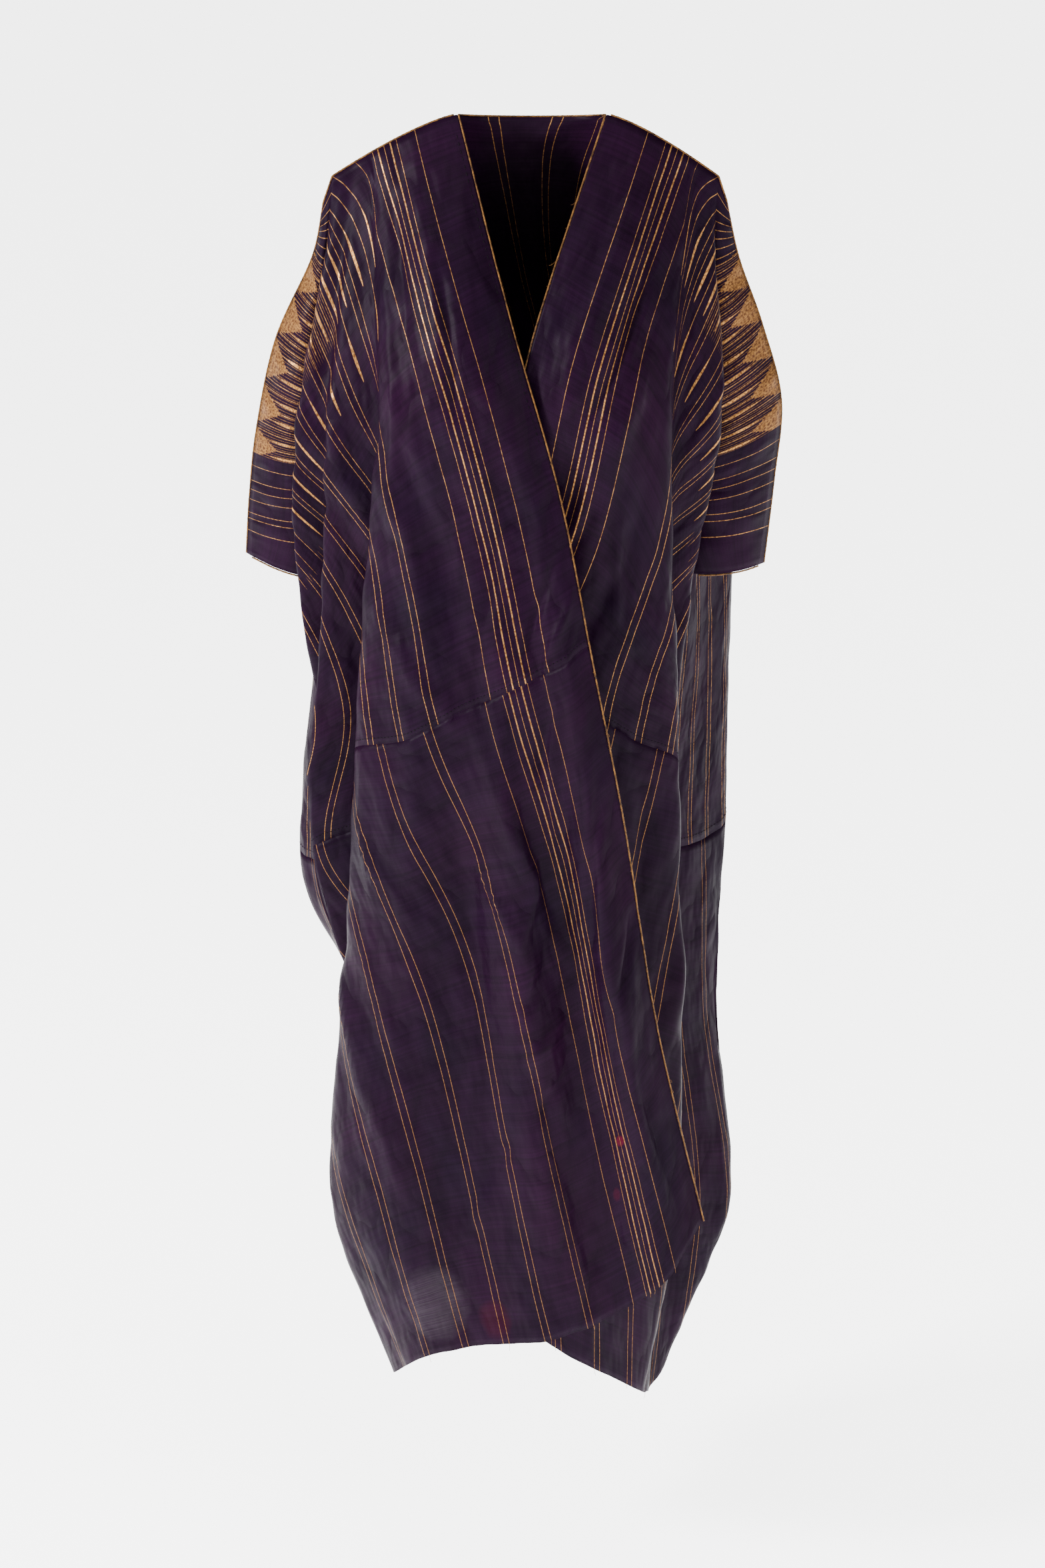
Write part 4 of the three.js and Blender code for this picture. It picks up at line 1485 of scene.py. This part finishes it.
@dataclass
class Sewing:
    """The stitches in the robe, and the threads that have worked loose from it."""

    right: Panel
    left: Panel
    back: Panel
    off_cloth: float = 0.5  # mm from the middle of the cloth to the middle of a stitch
    stitch_radius: float = 0.28
    seam_stitch: float = 2.2  # mm, the length of a stitch of the hip seam and of the gap after it
    loose_radius: float = 0.16
    whole_share: float = 0.45  # the share of the stripes that haven't frayed at the hem

    def build(self, dark: bpy.types.Material, gilt: bpy.types.Material) -> None:
        """Makes and dresses all the threads.

        Args:
            dark: The dark sewing thread's material.
            gilt: The gilt thread's material.
        """
        running = thread_mesh("running_stitches", self.running(), self.stitch_radius)
        dress(running, dark)
        seam = thread_mesh("hip_seam_stitches", self.seam(), self.stitch_radius)
        dress(seam, dark)
        loose = thread_mesh("loose_gilt_threads", self.loops() + self.frayed(), self.loose_radius)
        dress(loose, gilt)
        hairs = thread_mesh("loose_neck_threads", self.neck_threads(), self.loose_radius)
        dress(hairs, gilt)

    def running(self) -> list[np.ndarray]:
        """Lays the running stitches inside the right neck edge."""
        first, last, every, long, inside = 2.0, 34.0, 0.76, 0.34, 0.55
        paths = []
        for down in np.arange(first, last, every):
            start = down + random.uniform(-0.08, 0.08)
            steps = np.linspace(0, long, 4)
            paths.append(np.array([self.right.spot(inside, start + step, self.off_cloth) for step in steps]))
        return paths

    def seam(self) -> list[np.ndarray]:
        """Lays the stitches along the hip seam."""
        paths = []
        for panel in (self.right, self.left, self.back):
            row = HIP_ROW - 1
            line = panel.places[row] + panel.out[row] * self.off_cloth
            line = even_path(line[panel.whole[row]], self.seam_stitch)
            for k in range(1, len(line) - 2, 2):
                paths.append(line[k:k + 2])
        return paths

    def loops(self) -> list[np.ndarray]:
        """Lays the small gilt loops that stand off the right front edge."""
        paths = []
        for down, size in ((66.5, 3.6), (67.8, 3.0), (60.0, 2.0), (84.0, 2.4), (104.0, 4.2), (105.2, 3.4)):
            start = self.right.spot(0.05, down, 0.8)
            end = self.right.spot(0.05, down + 0.45, 0.8)
            turn = np.linspace(0, math.pi, 12)[:, None]
            out = np.array((1.0, -0.5, -0.2)) * size
            paths.append(start + (end - start) * (1 - np.cos(turn)) / 2 + out * np.sin(turn))
        return paths

    def frayed(self) -> list[np.ndarray]:
        """Lays the ends of gilt stripes that hang from the hem."""
        paths = []
        places = [LOWER_REPEAT.start + LOWER_REPEAT.every * k for k in range(6)]
        for panel in (self.right, self.left):
            for across in [stripe.across for stripe in LOWER_STRIPES] + places:
                if random.random() < self.whole_share:
                    continue
                root = panel.spot(across, HEM_DOWN, 0.4)
                fall = random.uniform(3.0, 8.0)
                sway = random.uniform(-2.5, 2.5)
                down = np.linspace(0, 1, 7)[:, None]
                paths.append(root + np.array((0, -0.6, -fall)) * down + np.array((sway, 0, 0)) * down**2)
        return paths

    def neck_threads(self) -> list[np.ndarray]:
        """Lays the fine threads that have worked loose from the left neck edge."""
        paths = []
        for down, long in ((8.5, 9.0), (11.0, 6.0), (14.5, 11.0), (17.0, 5.0)):
            root = self.left.spot(0.05, down, 0.6)
            along = np.linspace(0, 1, 10)[:, None]
            way = np.array((-0.9, -0.2, -0.3)) * long
            paths.append(root + way * along + np.array((0, 0, -0.35 * long)) * np.sin(along * 2.4) * along)
        return paths


@dataclass
class Aba:
    """The robe's cloth: two widths, each of a right front, a left front and a back."""

    right: Panel = field(init=False)
    left: Panel = field(init=False)
    back: Panel = field(init=False)

    def __post_init__(self) -> None:
        """Lays the three panels."""
        self.right = front_panel(
            "right_front", RIGHT_FRONT, RIGHT_ELBOW, RIGHT_SLEEVE, 1, RIGHT_FRONT_CREASES, SEED
        )
        self.left = front_panel(
            "left_front", LEFT_FRONT, LEFT_ELBOW, LEFT_SLEEVE, -1, LEFT_FRONT_CREASES, SEED + 1
        )
        self.back = back_panel(SEED + 2)

    def build(self) -> None:
        """Makes and dresses the six cloths."""
        upper = Silk("silk_upper", UPPER_REPEAT, UPPER_STRIPES, sleeve=True).material()
        plain_lower = Silk("silk_lower", LOWER_REPEAT, LOWER_STRIPES, gilt=LOWER_GILT)
        lower = plain_lower.material()
        worn = replace(plain_lower, name="silk_lower_worn", stains=RED_STAINS, thin=THIN_PLACES).material()
        back_upper = Silk("silk_back_upper", replace(UPPER_REPEAT, first=1.0), sleeve=True).material()
        back_lower = Silk("silk_back_lower", replace(LOWER_REPEAT, first=3.0), gilt=LOWER_GILT).material()
        for panel, over, under, shown in (
            (self.right, upper, worn, {"upper": CLOTH_HALF, "lower": CLOTH_HALF}),
            (self.left, upper, lower, {"upper": LEFT_UPPER_HALF, "lower": CLOTH_HALF}),
            (self.back, back_upper, back_lower, {"upper": 2 * CLOTH_HALF, "lower": 2 * CLOTH_HALF}),
        ):
            parts = (("upper", over, 0, HIP_ROW), ("lower", under, HIP_ROW, HEM_ROW))
            for part, material, top, bottom in parts:
                node = f"{panel.name}_{part}"
                piece = panel.mesh(f"silk_{node}", top, bottom)
                dress(piece, material, [node])
                long = (HIP_DOWN if part == "upper" else HEM_DOWN - HIP_DOWN) * CM
                wide = shown[part]
                log.info("%s: flat %.3f, drawn %.3f", node, wide * CM * long, panel.flat_area(top, bottom))
                wide * CM


@dataclass
class Studio:
    """The plain floor, the soft light and the camera."""

    floor_height: float = -1.62
    floor_glow: float = 4.5
    lens: float = 94.5
    camera_place: tuple[float, float, float] = (-0.0095, -4.110, 0.774)
    camera_pitch: float = 70.1

    def build(self) -> None:
        """Sets the camera, the floor and the light."""
        scene = bpy.context.scene
        data = bpy.data.cameras.new("camera")
        data.lens = self.lens
        camera = bpy.data.objects.new("camera", data)
        camera.location = self.camera_place
        camera.rotation_euler = (math.radians(self.camera_pitch), 0, 0)
        scene.collection.objects.link(camera)
        scene.camera = camera
        self.floor()
        self.light("key", (-3.4, -1.5, 1.3), 0.8, 400.0)
        self.light("fill", (3.2, -2.2, 0.9), 1.6, 75.0)
        self.light("top", (0.0, -0.8, 2.8), 1.4, 60.0)
        world = bpy.data.worlds.new("studio")
        world.use_nodes = True
        sky = world.node_tree.nodes["Background"]
        sky.inputs["Color"].default_value = (1.0, 1.0, 1.0, 1.0)
        sky.inputs["Strength"].default_value = 0.3
        scene.world = world

    def floor(self) -> None:
        """Makes the pale floor."""
        bpy.ops.object.select_all(action="DESELECT")
        bpy.ops.mesh.primitive_plane_add(size=30.0, location=(0, 0, self.floor_height))
        floor = bpy.context.object
        floor.name = "floor"
        kit = Kit("pale_floor")
        white = (0.96, 0.96, 0.96, 1.0)
        glow = {"Emission Color": white, "Emission Strength": self.floor_glow}
        floor.data.materials.append(kit.finish({"Base Color": white, "Roughness": 0.9, **glow}))

    @staticmethod
    def light(name: str, place: tuple[float, float, float], size: float, power: float) -> None:
        """Hangs one soft lamp that faces the robe.

        Args:
            name: The lamp's name.
            place: Where it hangs, in metres.
            size: Its width, in metres.
            power: Its power, in watts.
        """
        data = bpy.data.lights.new(name, "AREA")
        data.shape = "SQUARE"
        data.size = size
        data.energy = power
        lamp = bpy.data.objects.new(name, data)
        lamp.location = place
        towards = Vector((0.0, 0.0, -0.7)) - Vector(place)
        lamp.rotation_euler = towards.to_track_quat("-Z", "Y").to_euler()
        bpy.context.scene.collection.objects.link(lamp)


def main() -> None:
    """Builds the studio and the robe."""
    logging.basicConfig(level=logging.INFO, format="%(message)s")
    random.seed(SEED)
    Studio().build()
    robe = Aba()
    robe.build()
    gilt_cord = GiltCord().material()
    GiltEdging(robe.right, robe.left, robe.back).build(gilt_cord)
    dark_thread = PlainThread("dark_thread", linear(6, 3, 7)).material()
    Sewing(robe.right, robe.left, robe.back).build(dark_thread, gilt_cord)


if __name__ == "__main__":
    main()
